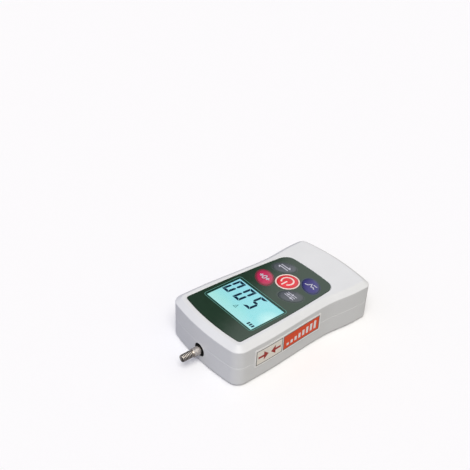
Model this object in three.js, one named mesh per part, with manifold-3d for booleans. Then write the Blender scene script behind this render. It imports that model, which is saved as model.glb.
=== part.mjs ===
// Digital force gauge for the hand or a test stand, in millimetres.
// The origin is the centre of the flat base. +Z leaves through the display, +Y points to the tail,
// and the measuring shaft points along -Y.

import * as THREE from "three";
import { mergeVertices } from "three/addons/utils/BufferGeometryUtils.js";
import Module from "manifold-3d";

const wasm = await Module();
wasm.setup();

// Housing, seen from above
const bodyLength = 147.6;
const frontHalfWidth = 40.7;
const waistHalfWidth = 37.7;
const tailHalfWidth = 40.4;
const waistStartY = -48;
const waistY = 22;
const flareEndY = 56;
const frontArcRadius = 200;
const tailArcRadius = 185;
const frontCornerRadius = 9.5;
const tailCornerRadius = 6.5;

// Housing, seen from the side
const bodyHeight = 36;
const partingHeight = 17.5;
const sideWall = 2.5;
const topWall = 3;
const floorWall = 2.6;
const bevelInset = 5.4;
const bevelDrop = 3.9;
const shoulderInsetShare = 0.85;
const shoulderDropShare = 0.065;
const creaseInsetShare = 0.09;
const creaseDropShare = 0.8;
const innerEdgeRoll = 2.8;
const baseEdgeRoll = 2.5;
const lipHeight = 1.6;
const lipWall = 1.1;

// Clearances
const fitGap = 0.3;
const seatGap = 0.1;
const overrun = 1;
const slopeStep = 0.01;
const weldDistance = 1e-4;

// Green front overlay
const overlayHalfWidth = 32.3;
const overlayWidestY = -59.9;
const overlaySideRadius = 1020;
const overlayFrontY = -65;
const overlayFrontRadius = 188;
const overlayTailY = 41;
const overlayTailRadius = 241;
const overlayFrontCorner = 2.4;
const overlayTailCorner = 9.5;
const overlayThickness = 0.8;
const overlaySink = 0.1;

// Display
const windowWidth = 55.4;
const windowLength = 35.8;
const windowCorner = 1.2;
const windowCentreY = -30.15;
const windowThickness = 0.8;
const viewWidth = 52.6;
const viewLength = 33;
const glassMargin = 0.4;
const glassThickness = 2.4;
const backlightWidth = 58;
const backlightLength = 38;
const backlightThickness = 5.5;
const lcdFrameWall = 1.6;
const lcdFrameDrop = 0.5;

// Keys
const keyCentreY = 14.2;
const powerKeyRadius = 8.7;
const powerRingRadius = 10;
const powerRingProud = 0.35;
const petalX = 15.4;
const petalRise = 10.9;
const petalHalfLong = 10.1;
const petalHalfShort = 6.8;
const petalTurn = THREE.MathUtils.degToRad(31);
const keyTravel = 0.4;
const keyFreePlay = 0.1;
const keyProud = 0.15;
const keyCrown = 0.5;
const keyCrownInsetShare = 0.6;
const keyFlange = 0.7;
const keyFlangeThickness = 0.8;
const keyStemRadius = 2.2;

// Key switches on the board
const switchSide = 6;
const switchHeight = 2.4;
const switchPlungerRadius = 1.7;
const switchPlungerHeight = 1;

// Circuit board
const boardHalfWidth = 31.5;
const boardTailY = 37;
const boardCorner = 6;
const boardThickness = 1.6;
const boardScrewX = 27.5;
const boardScrewClear = 0.85;
const boardScrewEdge = 3.4;
const boardScrewTailY = 33.5;
const boardBossRadius = 2.7;
const chipSide = 14;
const chipThickness = 1.6;
const chipX = -12;
const chipY = 20;
const connectorWidth = 10;
const connectorDepth = 6;
const connectorHeight = 4.5;
const connectorWall = 1.1;
const connectorX = 22;
const connectorY = 8;

// Measuring shaft
const shaftReach = 16.4;
const threadRadius = 3;
const threadLength = 9.5;
const threadChamfer = 0.8;
const reliefRadius = 2.5;
const reliefLength = 0.6;
const collarRadius = 3.6;
const collarLength = 1.6;
const neckRadius = 3.2;
const neckLength = 1.1;
const shaftRadius = 3.5;
const shaftShoulderY = -52;
const shaftHoleRadius = 5.7;
const shaftHoleChamfer = 0.4;
const shaftHoleWeb = 0.5;
const nutFlats = 10;
const nutThickness = 5;
const dustRingRadius = 7.4;
const dustRingThickness = 2;
const guideRibThickness = 2;
const guideRibHalfWidth = 10;
const guideSlotRadius = 5.8;
const shaftTravel = 0.3;

// Load cell
const cellHalfWidth = 20;
const cellFrontY = -46;
const cellLength = 46;
const cellThickness = 10;
const cellBar = 9;
const cellSlot = 3;
const cellColumn = 8;
const cellHoleRadius = 7.5;
const cellBoreDepth = 8;
const coverRadius = 9;
const coverThickness = 0.8;
const cellBevel = 0.6;

// Bracket that carries the load cell, and its bolt
const bracketThickness = 2;
const bracketHalfWidth = 24;
const bracketFrontY = -42;
const uprightThickness = 4;
const uprightHalfWidth = 12.5;
const uprightTop = 18.5;
const gussetThickness = 2;
const gussetLength = 9;
const gussetX = 9.5;
const cellBoltRadius = 3;
const cellBoltHeadRadius = 5;
const cellBoltHeadHeight = 3.4;
const cellBoltSocketRadius = 2.4;
const cellBoltSocketDepth = 2;

// Threaded inserts in the back, for a test stand
const insertX = 18;
const insertCentreY = -19;
const insertSpacingY = 34;
const insertRadius = 3;
const insertBore = 1.65;
const insertFlangeRadius = 4.4;
const insertFlangeThickness = 1.2;
const insertSink = 0.2;

// Screws that close the housing
const caseScrewFrontX = 32.8;
const caseScrewFrontY = -61.5;
const caseScrewTailX = 32.2;
const caseScrewTailY = 60.5;
const caseScrewRadius = 1.5;
const caseScrewLength = 22;
const caseHeadRadius = 2.9;
const caseHeadHeight = 2;
const caseHeadSink = 1.2;
const caseBossRadius = 4;

// Small screws of the board and the battery clamp
const smallScrewRadius = 1;
const smallScrewLength = 5;
const smallHeadRadius = 2;
const smallHeadHeight = 1.3;
const screwCrownShare = 0.7;
const screwRimShare = 0.55;
const screwPointShare = 0.33;

// Battery pack
const batteryCount = 4;
const batteryRadius = 5.25;
const batteryLength = 44.5;
const batteryPitch = 11;
const batteryTailRoom = 2.4;
const batteryNubRadius = 1.9;
const batteryNubHeight = 0.9;
const batteryEdge = 0.6;
const cradleRibX = 15;
const cradleRibThickness = 1.8;
const cradleRibHeight = 5.5;
const clampThickness = 2;
const clampHalfWidth = 9;
const clampEarHalfWidth = 4.5;
const clampPostX = 28;
const clampPostRadius = 3;
const clampCorner = 2;

// Sockets in the tail wall
const chargeX = -15;
const socketHeight = 10.5;
const chargeBodyWidth = 9;
const chargeBodyHeight = 10;
const chargeBodyDepth = 9.5;
const chargeSleeveRadius = 3.9;
const chargeBoreRadius = 2.8;
const chargeBoreDepth = 8.5;
const chargePinRadius = 1;
const chargePinLength = 6.5;
const socketSink = 0.6;
const dataX = 15;
const dataWidth = 8;
const dataHeight = 4.2;
const dataBodyDepth = 9;
const dataWall = 0.5;
const dataCorner = 0.9;
const dataTongueWidth = 5;
const dataTongueHeight = 0.9;
const socketPostWidth = 11;
const socketPostDepth = 6;

// Leads inside the housing
const leadRadius = 1.1;
const cellLeadExitX = 14;
const cellLeadExitY = -23;
const batteryLeadX = 24.5;

// Side label
const labelFrontY = -54;
const labelTailY = 15.6;
const labelBottom = 12;
const labelTop = 28.3;
const labelThickness = 0.3;

// Levels that follow from the sizes above
const ceiling = bodyHeight - topWall;
const overlayFloor = bodyHeight - overlaySink - overlayThickness;
const overlayTop = bodyHeight - overlaySink;
const glassTop = overlayFloor - seatGap;
const backlightTop = glassTop - glassThickness;
const boardTop = backlightTop - backlightThickness;
const boardBottom = boardTop - boardThickness;
const switchTop = boardTop + switchHeight + switchPlungerHeight;
const lcdFrameHalfLength = backlightLength / 2 + fitGap + lcdFrameWall;
const boardScrewFrontY = windowCentreY - lcdFrameHalfLength - boardScrewClear - boardBossRadius;
const boardFrontY = boardScrewFrontY - boardScrewEdge;
const shaftHeight = partingHeight - shaftHoleWeb - shaftHoleRadius;
const frontY = -bodyLength / 2;
const tailY = bodyLength / 2;
const tipY = frontY - shaftReach;
const cellTailY = cellFrontY + cellLength;
const cellBottom = shaftHeight - cellThickness / 2;
const cellTop = shaftHeight + cellThickness / 2;
const batteryAxis = floorWall + fitGap + batteryRadius;
const tailFaceAt = (x) => tailY - tailArcRadius + Math.sqrt(tailArcRadius ** 2 - x ** 2);
const tailWallInside = (x) => tailFaceAt(x) - sideWall - overrun;
const socketShoulderY = tailFaceAt(chargeX - chargeBodyWidth / 2) - sideWall - fitGap;
const batteryLastY = socketShoulderY - chargeBodyDepth - batteryTailRoom - batteryRadius;
const batteryFirstY = batteryLastY - (batteryCount - 1) * batteryPitch;
const batteryMiddleY = (batteryFirstY + batteryLastY) / 2;
const clampBottom = batteryAxis + batteryRadius + fitGap;

// Facet counts
const roundSides = 24;
const keySides = 20;
const smallSides = 12;
const tinySides = 8;
const hexSides = 6;
const cornerSides = 3;
const halvings = 40;
const leadSides = 6;
const leadSteps = 14;

// Finishes
const finish = (color, roughness, metalness) =>
  new THREE.MeshStandardMaterial({ color, roughness, metalness });
const finishes = {
  housing: finish(0xdedee0, 0.45, 0),
  overlay: finish(0x31473a, 0.3, 0),
  window: finish(0xb4f0f0, 0.1, 0),
  lcd: finish(0x9fe6e6, 0.2, 0),
  blackPlastic: finish(0x1c1d1f, 0.5, 0),
  whitePlastic: finish(0xe9e7df, 0.5, 0),
  board: finish(0x1f5a34, 0.5, 0),
  cream: finish(0xfae2d6, 0.4, 0),
  red: finish(0xe12d3c, 0.4, 0),
  crimson: finish(0xcd1e5a, 0.4, 0),
  indigo: finish(0x37328c, 0.4, 0),
  slate: finish(0x5f6973, 0.4, 0),
  steel: finish(0x9a958e, 0.3, 1),
  aluminium: finish(0xb9bcc0, 0.35, 1),
  brass: finish(0xb8934a, 0.35, 1),
  rubber: finish(0x151515, 0.8, 0),
  battery: finish(0x2f6f52, 0.4, 0),
  label: finish(0xd73c14, 0.5, 0),
};

// From a closed geometry to a solid that can be cut, and back
function solid(geometry) {
  const bare = geometry.clone();
  for (const name of Object.keys(bare.attributes)) {
    if (name !== "position") bare.deleteAttribute(name);
  }
  const merged = mergeVertices(bare, weldDistance);
  return new wasm.Manifold(
    new wasm.Mesh({
      numProp: 3,
      vertProperties: new Float32Array(merged.attributes.position.array),
      triVerts: new Uint32Array(merged.index.array),
    }),
  );
}

function geometryOf(form) {
  const { vertProperties, triVerts } = form.getMesh();
  const geometry = new THREE.BufferGeometry();
  geometry.setAttribute("position", new THREE.BufferAttribute(vertProperties, 3));
  geometry.setIndex(new THREE.BufferAttribute(triVerts, 1));
  geometry.computeVertexNormals();
  return geometry;
}

const join = (...forms) => forms.reduce((all, form) => all.add(form));
const cut = (form, ...tools) => tools.reduce((left, tool) => left.subtract(tool), form);

function piece(name, form, material) {
  const mesh = new THREE.Mesh(form.isBufferGeometry ? form : geometryOf(form), material);
  mesh.name = name;
  return mesh;
}

function placed(mesh, x, y, z) {
  mesh.position.set(x, y, z);
  return mesh;
}

// A block between two corners
function block([x0, y0, z0], [x1, y1, z1]) {
  const geometry = new THREE.BoxGeometry(x1 - x0, y1 - y0, z1 - z0);
  geometry.translate((x0 + x1) / 2, (y0 + y1) / 2, (z0 + z1) / 2);
  return solid(geometry);
}

// A round bar that stands upright on z0
function upright(radius, x, y, z0, z1, sides = smallSides) {
  const geometry = new THREE.CylinderGeometry(radius, radius, z1 - z0, sides);
  geometry.rotateX(Math.PI / 2);
  geometry.translate(x, y, (z0 + z1) / 2);
  return solid(geometry);
}

// A round bar that lies along Y
function lengthwise(radius, x, z, y0, y1, sides = roundSides) {
  const geometry = new THREE.CylinderGeometry(radius, radius, y1 - y0, sides);
  geometry.translate(x, (y0 + y1) / 2, z);
  return solid(geometry);
}

// A flat shape raised from z0 to z1
function raised(shape, z0, z1, curveSegments = cornerSides) {
  const geometry = new THREE.ExtrudeGeometry(shape, {
    depth: z1 - z0,
    bevelEnabled: false,
    curveSegments,
  });
  geometry.translate(0, 0, z0);
  return solid(geometry);
}

const shapeOf = (points) => new THREE.Shape(points);

function roundedBox(centreX, centreY, width, length, corner) {
  const x0 = centreX - width / 2;
  const y0 = centreY - length / 2;
  const x1 = centreX + width / 2;
  const y1 = centreY + length / 2;
  const quarter = Math.PI / 2;
  const shape = new THREE.Shape();
  shape.absarc(x1 - corner, y0 + corner, corner, -quarter, 0);
  shape.absarc(x1 - corner, y1 - corner, corner, 0, quarter);
  shape.absarc(x0 + corner, y1 - corner, corner, quarter, 2 * quarter);
  shape.absarc(x0 + corner, y0 + corner, corner, 2 * quarter, 3 * quarter);
  shape.closePath();
  return shape;
}

// An outline from above with a front arc, a tail arc, shaped sides and four rounded corners.
// Every point carries its outward normal, so one plan gives the walls, the lip and the shaped edges.
function makePlan(form, counts) {
  const { halfWidthAt, front, tail } = form;

  function sideAt(y) {
    const rise = halfWidthAt(y + slopeStep) - halfWidthAt(y - slopeStep);
    const normal = new THREE.Vector2(2 * slopeStep, -rise).normalize();
    return { x: halfWidthAt(y), y, normal };
  }

  // The corner touches the side and the end arc, so its centre is found by halving.
  function cornerOf(end, direction) {
    const arcCentre = new THREE.Vector2(0, end.y - direction * end.radius);
    let outer = end.y;
    let inner = (front.y + tail.y) / 2;
    let corner;
    for (let step = 0; step < halvings; step += 1) {
      const side = sideAt((outer + inner) / 2);
      const centre = new THREE.Vector2(side.x, side.y).addScaledVector(side.normal, -end.corner);
      corner = { side, centre, arcCentre };
      if (centre.distanceTo(arcCentre) > end.radius - end.corner) outer = side.y;
      else inner = side.y;
    }
    return corner;
  }

  const points = [];
  const add = (x, y, normal) => points.push({ x, y, nx: normal.x, ny: normal.y });

  function addArc(centre, radius, from, to, count, skipFirst) {
    for (let k = skipFirst ? 1 : 0; k <= count; k += 1) {
      const angle = THREE.MathUtils.lerp(from, to, k / count);
      const normal = new THREE.Vector2(Math.cos(angle), Math.sin(angle));
      add(centre.x + radius * normal.x, centre.y + radius * normal.y, normal);
    }
  }

  const nose = cornerOf(front, -1);
  const rear = cornerOf(tail, 1);
  const noseAngle = nose.centre.clone().sub(nose.arcCentre).angle() - 2 * Math.PI;
  const rearAngle = rear.centre.clone().sub(rear.arcCentre).angle();
  const wrap = (angle) => (angle > Math.PI ? angle - 2 * Math.PI : angle);

  addArc(nose.arcCentre, front.radius, -Math.PI / 2, noseAngle, counts.front, false);
  addArc(nose.centre, front.corner, noseAngle, wrap(nose.side.normal.angle()), counts.corner, true);
  for (let k = 1; k < counts.side; k += 1) {
    const side = sideAt(THREE.MathUtils.lerp(nose.side.y, rear.side.y, k / counts.side));
    add(side.x, side.y, side.normal);
  }
  addArc(rear.centre, tail.corner, wrap(rear.side.normal.angle()), rearAngle, counts.corner, false);
  addArc(rear.arcCentre, tail.radius, rearAngle, Math.PI / 2, counts.front, true);

  const left = points.slice(1, -1).reverse();
  return [...points, ...left.map(({ x, y, nx, ny }) => ({ x: -x, y, nx: -nx, ny }))];
}

// The plan drawn inwards by a distance, or outwards by a negative one
const drawnIn = (plan, inset) =>
  plan.map(({ x, y, nx, ny }) => new THREE.Vector2(x - inset * nx, y - inset * ny));

// A closed skin through rings that have equal counts of points, from the lowest to the highest
function loft(rings) {
  const count = rings[0].length;
  const positions = rings.flatMap((ring) => ring.flatMap((point) => point.toArray()));
  const index = [];
  for (let level = 0; level < rings.length - 1; level += 1) {
    for (let k = 0; k < count; k += 1) {
      const low = level * count + k;
      const lowNext = level * count + ((k + 1) % count);
      index.push(low, lowNext, lowNext + count, low, lowNext + count, low + count);
    }
  }
  const last = (rings.length - 1) * count;
  const flat = (ring) => ring.map((point) => new THREE.Vector2(point.x, point.y));
  for (const [a, b, c] of THREE.ShapeUtils.triangulateShape(flat(rings[0]), [])) {
    index.push(c, b, a);
  }
  for (const [a, b, c] of THREE.ShapeUtils.triangulateShape(flat(rings.at(-1)), [])) {
    index.push(last + a, last + b, last + c);
  }
  const geometry = new THREE.BufferGeometry();
  geometry.setAttribute("position", new THREE.Float32BufferAttribute(positions, 3));
  geometry.setIndex(index);
  return solid(geometry);
}

const levelRing = (points, z) => points.map((point) => new THREE.Vector3(point.x, point.y, z));

// The quarter turns of a rolled edge, as shares of its radius
function rollSteps(count) {
  return Array.from({ length: count + 1 }, (_, k) => {
    const angle = (k / count) * (Math.PI / 2);
    return { inwardShare: 1 - Math.cos(angle), dropShare: 1 - Math.sin(angle) };
  });
}

function bodyHalfWidthAt(y) {
  const narrowing = THREE.MathUtils.smoothstep(y, waistStartY, waistY);
  const flare = THREE.MathUtils.smoothstep(y, waistY, flareEndY);
  const waist = THREE.MathUtils.lerp(frontHalfWidth, waistHalfWidth, narrowing);
  return waist + (tailHalfWidth - waistHalfWidth) * flare;
}

const bodyPlan = makePlan(
  {
    halfWidthAt: bodyHalfWidthAt,
    front: { y: frontY, radius: frontArcRadius, corner: frontCornerRadius },
    tail: { y: tailY, radius: tailArcRadius, corner: tailCornerRadius },
  },
  { front: 4, corner: 4, side: 13 },
);

const overlayPlan = makePlan(
  {
    halfWidthAt: (y) => overlayHalfWidth - (y - overlayWidestY) ** 2 / (2 * overlaySideRadius),
    front: { y: overlayFrontY, radius: overlayFrontRadius, corner: overlayFrontCorner },
    tail: { y: overlayTailY, radius: overlayTailRadius, corner: overlayTailCorner },
  },
  { front: 4, corner: 4, side: 6 },
);

// The bevelled top edge, from its crease over the wall to the flat top
const edgeProfile = [
  { inset: 0, drop: bevelDrop },
  { inset: bevelInset * creaseInsetShare, drop: bevelDrop * creaseDropShare },
  { inset: bevelInset * shoulderInsetShare, drop: bevelDrop * shoulderDropShare },
  { inset: bevelInset, drop: 0 },
];

// Keys: a crowned cap with a flange that the shell holds back, and a stem over its switch
function ellipsePoints(halfLong, halfShort, count) {
  return Array.from({ length: count }, (_, k) => {
    const angle = (k / count) * 2 * Math.PI;
    return new THREE.Vector2(halfLong * Math.cos(angle), halfShort * Math.sin(angle));
  });
}

const powerKey = {
  name: "power",
  x: 0,
  y: keyCentreY,
  turn: 0,
  halfLong: powerKeyRadius,
  halfShort: powerKeyRadius,
  material: finishes.red,
};
const petalKeys = [
  { name: "unit", side: -1, row: 1, material: finishes.slate },
  { name: "peak", side: 1, row: 1, material: finishes.indigo },
  { name: "zero", side: -1, row: -1, material: finishes.crimson },
  { name: "set", side: 1, row: -1, material: finishes.slate },
].map(({ name, side, row, material }) => ({
  name,
  x: side * petalX,
  y: keyCentreY + row * petalRise,
  turn: -side * row * petalTurn,
  halfLong: petalHalfLong,
  halfShort: petalHalfShort,
  material,
}));
const keys = [powerKey, ...petalKeys];

function keyOpening(key, gap, z0, z1) {
  const points = ellipsePoints(key.halfLong + gap, key.halfShort + gap, keySides);
  const origin = new THREE.Vector2();
  points.forEach((point) => {
    point.rotateAround(origin, key.turn);
    point.add(new THREE.Vector2(key.x, key.y));
  });
  return raised(shapeOf(points), z0, z1);
}

function keyPiece(key) {
  const flangeTop = ceiling - fitGap;
  const flangeBottom = flangeTop - keyFlangeThickness;
  const rim = overlayTop + keyProud;
  const ringAt = (inset, z) =>
    levelRing(ellipsePoints(key.halfLong - inset, key.halfShort - inset, keySides), z);
  const crown = rollSteps(3).map(({ inwardShare, dropShare }) =>
    ringAt(inwardShare * key.halfShort * keyCrownInsetShare, rim + keyCrown * (1 - dropShare)),
  );
  const cap = loft([ringAt(0, flangeTop), ...crown]);
  const flange = loft([ringAt(-keyFlange, flangeBottom), ringAt(-keyFlange, flangeTop)]);
  const stem = upright(
    keyStemRadius,
    0,
    0,
    switchTop + keyTravel + keyFreePlay,
    flangeBottom + keyFlangeThickness / 2,
    tinySides,
  );
  const mesh = piece(`${key.name}_key`, join(cap, flange, stem), key.material);
  mesh.position.set(key.x, key.y, 0);
  mesh.rotation.z = key.turn;
  return mesh;
}

function powerRing() {
  const ring = cut(
    upright(powerRingRadius, 0, keyCentreY, overlayFloor, overlayTop + powerRingProud, roundSides),
    keyOpening(powerKey, fitGap, overlayFloor - overrun, bodyHeight + overrun),
  );
  return piece("power_ring", ring, finishes.cream);
}

function switchPiece(key) {
  const half = switchSide / 2;
  const base = block([-half, -half, 0], [half, half, switchHeight]);
  const plunger = upright(
    switchPlungerRadius,
    0,
    0,
    switchHeight / 2,
    switchHeight + switchPlungerHeight,
    tinySides,
  );
  const mesh = piece(`${key.name}_switch`, join(base, plunger), finishes.blackPlastic);
  return placed(mesh, key.x, key.y, boardTop);
}

// Places of the screws and bosses
const mirrored = (x, y) => [
  [-x, y],
  [x, y],
];
const caseScrewPlaces = [
  ...mirrored(caseScrewFrontX, caseScrewFrontY),
  ...mirrored(caseScrewTailX, caseScrewTailY),
];
const boardScrewPlaces = [
  ...mirrored(boardScrewX, boardScrewFrontY),
  ...mirrored(boardScrewX, boardScrewTailY),
];
const insertPlaces = [
  ...mirrored(insertX, insertCentreY - insertSpacingY / 2),
  ...mirrored(insertX, insertCentreY + insertSpacingY / 2),
];
const clampPostPlaces = mirrored(clampPostX, batteryMiddleY);

// Front shell: lofted outside with a bevelled edge, hollow inside, with bosses hanging from its ceiling
function frontShell() {
  const outside = loft([
    levelRing(drawnIn(bodyPlan, 0), partingHeight),
    ...edgeProfile.map(({ inset, drop }) =>
      levelRing(drawnIn(bodyPlan, inset), bodyHeight - drop),
    ),
  ]);
  const hollow = loft([
    levelRing(drawnIn(bodyPlan, sideWall), partingHeight - overrun),
    ...rollSteps(2).map(({ inwardShare, dropShare }) =>
      levelRing(
        drawnIn(bodyPlan, sideWall + innerEdgeRoll * inwardShare),
        ceiling - innerEdgeRoll * dropShare,
      ),
    ),
  ]);
  const lipSeat = raised(
    shapeOf(drawnIn(bodyPlan, lipWall + fitGap)),
    partingHeight - overrun,
    partingHeight + lipHeight + fitGap,
  );
  const overlaySeat = raised(
    shapeOf(drawnIn(overlayPlan, -fitGap)),
    overlayFloor,
    bodyHeight + overrun,
  );
  const glassRoom = 2 * (glassMargin + fitGap);
  const displayOpening = raised(
    roundedBox(0, windowCentreY, viewWidth + glassRoom, viewLength + glassRoom, windowCorner),
    ceiling - overrun,
    bodyHeight,
  );
  const keyOpenings = keys.map((key) =>
    keyOpening(key, fitGap, ceiling - overrun, bodyHeight + overrun),
  );
  const boss = (radius, pilot, bottom) => ([x, y]) =>
    cut(
      upright(radius, x, y, bottom, ceiling + topWall / 4),
      upright(pilot + fitGap, x, y, bottom - overrun, ceiling - fitGap, tinySides),
    );
  const caseBosses = caseScrewPlaces.map(
    boss(caseBossRadius, caseScrewRadius, partingHeight + fitGap),
  );
  const boardBosses = boardScrewPlaces.map(boss(boardBossRadius, smallScrewRadius, boardTop));
  return piece(
    "front_shell",
    join(
      cut(outside, hollow, lipSeat, overlaySeat, displayOpening, ...keyOpenings),
      ...caseBosses,
      ...boardBosses,
    ),
    finishes.housing,
  );
}

// Rear shell: a lofted tray with a lip, screw towers, cradle ribs, the shaft hole and two socket openings
function cradleRib(x) {
  const half = cradleRibThickness / 2;
  const y0 = batteryFirstY - batteryPitch / 2;
  const y1 = y0 + batteryCount * batteryPitch;
  const rib = block([x - half, y0, floorWall / 2], [x + half, y1, floorWall + cradleRibHeight]);
  const seats = batteryPlaces().map((y) => {
    const geometry = new THREE.CylinderGeometry(
      batteryRadius + fitGap,
      batteryRadius + fitGap,
      cradleRibThickness + 2 * overrun,
      smallSides,
    );
    geometry.rotateZ(Math.PI / 2);
    geometry.translate(x, y, batteryAxis);
    return solid(geometry);
  });
  return cut(rib, ...seats);
}

const batteryPlaces = () =>
  Array.from({ length: batteryCount }, (_, k) => batteryFirstY + k * batteryPitch);

function shaftGuide() {
  const front = frontY + sideWall + 2 * fitGap + dustRingThickness;
  const back = front + guideRibThickness;
  const rib = block(
    [-guideRibHalfWidth, front, floorWall / 2],
    [guideRibHalfWidth, back, partingHeight - fitGap],
  );
  const slot = join(
    lengthwise(guideSlotRadius, 0, shaftHeight, front - overrun, back + overrun),
    block(
      [-guideSlotRadius, front - overrun, shaftHeight],
      [guideSlotRadius, back + overrun, partingHeight + overrun],
    ),
  );
  return cut(rib, slot);
}

function rearShell() {
  const outside = loft([
    ...rollSteps(3)
      .reverse()
      .map(({ inwardShare, dropShare }) =>
        levelRing(drawnIn(bodyPlan, baseEdgeRoll * inwardShare), baseEdgeRoll * dropShare),
      ),
    levelRing(drawnIn(bodyPlan, 0), partingHeight),
  ]);
  const hollow = loft([
    levelRing(drawnIn(bodyPlan, sideWall + innerEdgeRoll / 2), floorWall),
    levelRing(drawnIn(bodyPlan, sideWall), floorWall + innerEdgeRoll / 2),
    levelRing(drawnIn(bodyPlan, sideWall), partingHeight + overrun),
  ]);
  const lip = cut(
    raised(
      shapeOf(drawnIn(bodyPlan, lipWall + 2 * fitGap)),
      partingHeight - lipHeight,
      partingHeight + lipHeight,
    ),
    raised(
      shapeOf(drawnIn(bodyPlan, sideWall + lipWall / 2)),
      partingHeight - lipHeight - overrun,
      partingHeight + lipHeight + overrun,
    ),
    block(
      [-guideRibHalfWidth, frontY, partingHeight - lipHeight - overrun],
      [guideRibHalfWidth, frontY + 2 * sideWall, partingHeight + lipHeight + overrun],
    ),
  );
  const towers = caseScrewPlaces.map(([x, y]) =>
    upright(caseBossRadius, x, y, floorWall / 2, partingHeight - fitGap / 2),
  );
  const posts = clampPostPlaces.map(([x, y]) =>
    upright(clampPostRadius, x, y, floorWall / 2, clampBottom),
  );
  const postHoles = clampPostPlaces.map(([x, y]) =>
    upright(
      smallScrewRadius + fitGap,
      x,
      y,
      clampBottom - smallScrewLength,
      clampBottom + overrun,
      tinySides,
    ),
  );
  const screwHoles = caseScrewPlaces.flatMap(([x, y]) => [
    upright(caseScrewRadius + fitGap, x, y, -overrun, partingHeight + overrun, tinySides),
    upright(caseHeadRadius + fitGap, x, y, -overrun, caseHeadSink + caseHeadHeight + seatGap),
  ]);
  const insertHoles = insertPlaces.map(([x, y]) =>
    upright(insertRadius + fitGap, x, y, -overrun, floorWall + overrun),
  );
  const shaftHole = join(
    lengthwise(shaftHoleRadius, 0, shaftHeight, frontY - overrun, frontY + 2 * sideWall),
    shaftHoleMouth(),
  );
  const sockets = [
    lengthwise(
      chargeSleeveRadius + fitGap,
      chargeX,
      socketHeight,
      tailWallInside(chargeX - chargeSleeveRadius),
      tailY + overrun,
    ),
    dataOpening(),
  ];
  const shell = cut(
    join(cut(outside, hollow), lip, ...towers, ...posts, shaftGuide(), ...socketPosts()),
    ...screwHoles,
    ...insertHoles,
    ...postHoles,
    shaftHole,
    ...sockets,
  );
  return piece(
    "rear_shell",
    join(shell, cradleRib(-cradleRibX), cradleRib(cradleRibX)),
    finishes.housing,
  );
}

// The small bevel round the shaft hole's mouth
function shaftHoleMouth() {
  const depth = 2 * shaftHoleChamfer;
  const geometry = new THREE.CylinderGeometry(
    shaftHoleRadius,
    shaftHoleRadius + depth,
    depth,
    roundSides,
  );
  geometry.translate(0, frontY + shaftHoleChamfer - depth / 2, shaftHeight);
  return solid(geometry);
}

// Overlay and display window
function frontOverlay() {
  const sheet = raised(shapeOf(drawnIn(overlayPlan, 0)), overlayFloor, overlayTop);
  const windowOpening = raised(
    roundedBox(0, windowCentreY, windowWidth, windowLength, windowCorner),
    overlayFloor - overrun,
    bodyHeight + overrun,
  );
  const ringOpening = upright(
    powerRingRadius + fitGap,
    0,
    keyCentreY,
    overlayFloor - overrun,
    bodyHeight + overrun,
    roundSides,
  );
  const petalOpenings = petalKeys.map((key) =>
    keyOpening(key, fitGap, overlayFloor - overrun, bodyHeight + overrun),
  );
  return piece(
    "front_overlay",
    cut(sheet, windowOpening, ringOpening, ...petalOpenings),
    finishes.overlay,
  );
}

function displayWindow() {
  const shape = roundedBox(
    0,
    windowCentreY,
    windowWidth - 2 * fitGap,
    windowLength - 2 * fitGap,
    windowCorner,
  );
  return piece(
    "display_window",
    raised(shape, overlayFloor, overlayFloor + windowThickness),
    finishes.window,
  );
}

// Liquid crystal glass in the shell's opening, its backlight and the frame that holds it on the board
function lcdPieces() {
  const plate = (width, length, z0, z1) =>
    raised(roundedBox(0, windowCentreY, width, length, windowCorner / 2), z0, z1);
  const frameTop = ceiling - lcdFrameDrop;
  const frameInside = 2 * fitGap;
  const frameOutside = frameInside + 2 * lcdFrameWall;
  const frame = cut(
    plate(backlightWidth + frameOutside, backlightLength + frameOutside, boardTop, frameTop),
    plate(
      backlightWidth + frameInside,
      backlightLength + frameInside,
      boardTop - overrun,
      frameTop + overrun,
    ),
  );
  return [
    piece(
      "lcd_glass",
      plate(viewWidth + 2 * glassMargin, viewLength + 2 * glassMargin, backlightTop, glassTop),
      finishes.lcd,
    ),
    piece(
      "backlight_panel",
      plate(backlightWidth, backlightLength, boardTop, backlightTop),
      finishes.whitePlastic,
    ),
    piece("lcd_frame", frame, finishes.blackPlastic),
  ];
}

// Circuit board with its chip and its connector
function mainBoard() {
  const middleY = (boardFrontY + boardTailY) / 2;
  const length = boardTailY - boardFrontY;
  const sheet = raised(
    roundedBox(0, middleY, 2 * boardHalfWidth, length, boardCorner),
    boardBottom,
    boardTop,
  );
  const holes = boardScrewPlaces.map(([x, y]) =>
    upright(smallScrewRadius + fitGap, x, y, boardBottom - overrun, boardTop + overrun, tinySides),
  );
  return piece("main_board", cut(sheet, ...holes), finishes.board);
}

function boardPieces() {
  const halfChip = chipSide / 2;
  const chip = block([-halfChip, -halfChip, -chipThickness], [halfChip, halfChip, 0]);
  const connector = cut(
    block(
      [-connectorWidth / 2, -connectorDepth / 2, -connectorHeight],
      [connectorWidth / 2, connectorDepth / 2, 0],
    ),
    block(
      [
        connectorWall - connectorWidth / 2,
        connectorWall - connectorDepth / 2,
        -connectorHeight - overrun,
      ],
      [
        connectorWidth / 2 - connectorWall,
        connectorDepth / 2 - connectorWall,
        -connectorHeight / 2,
      ],
    ),
  );
  return [
    placed(piece("controller_chip", chip, finishes.blackPlastic), chipX, chipY, boardBottom),
    placed(
      piece("cell_connector", connector, finishes.whitePlastic),
      connectorX,
      connectorY,
      boardBottom,
    ),
  ];
}

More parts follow.
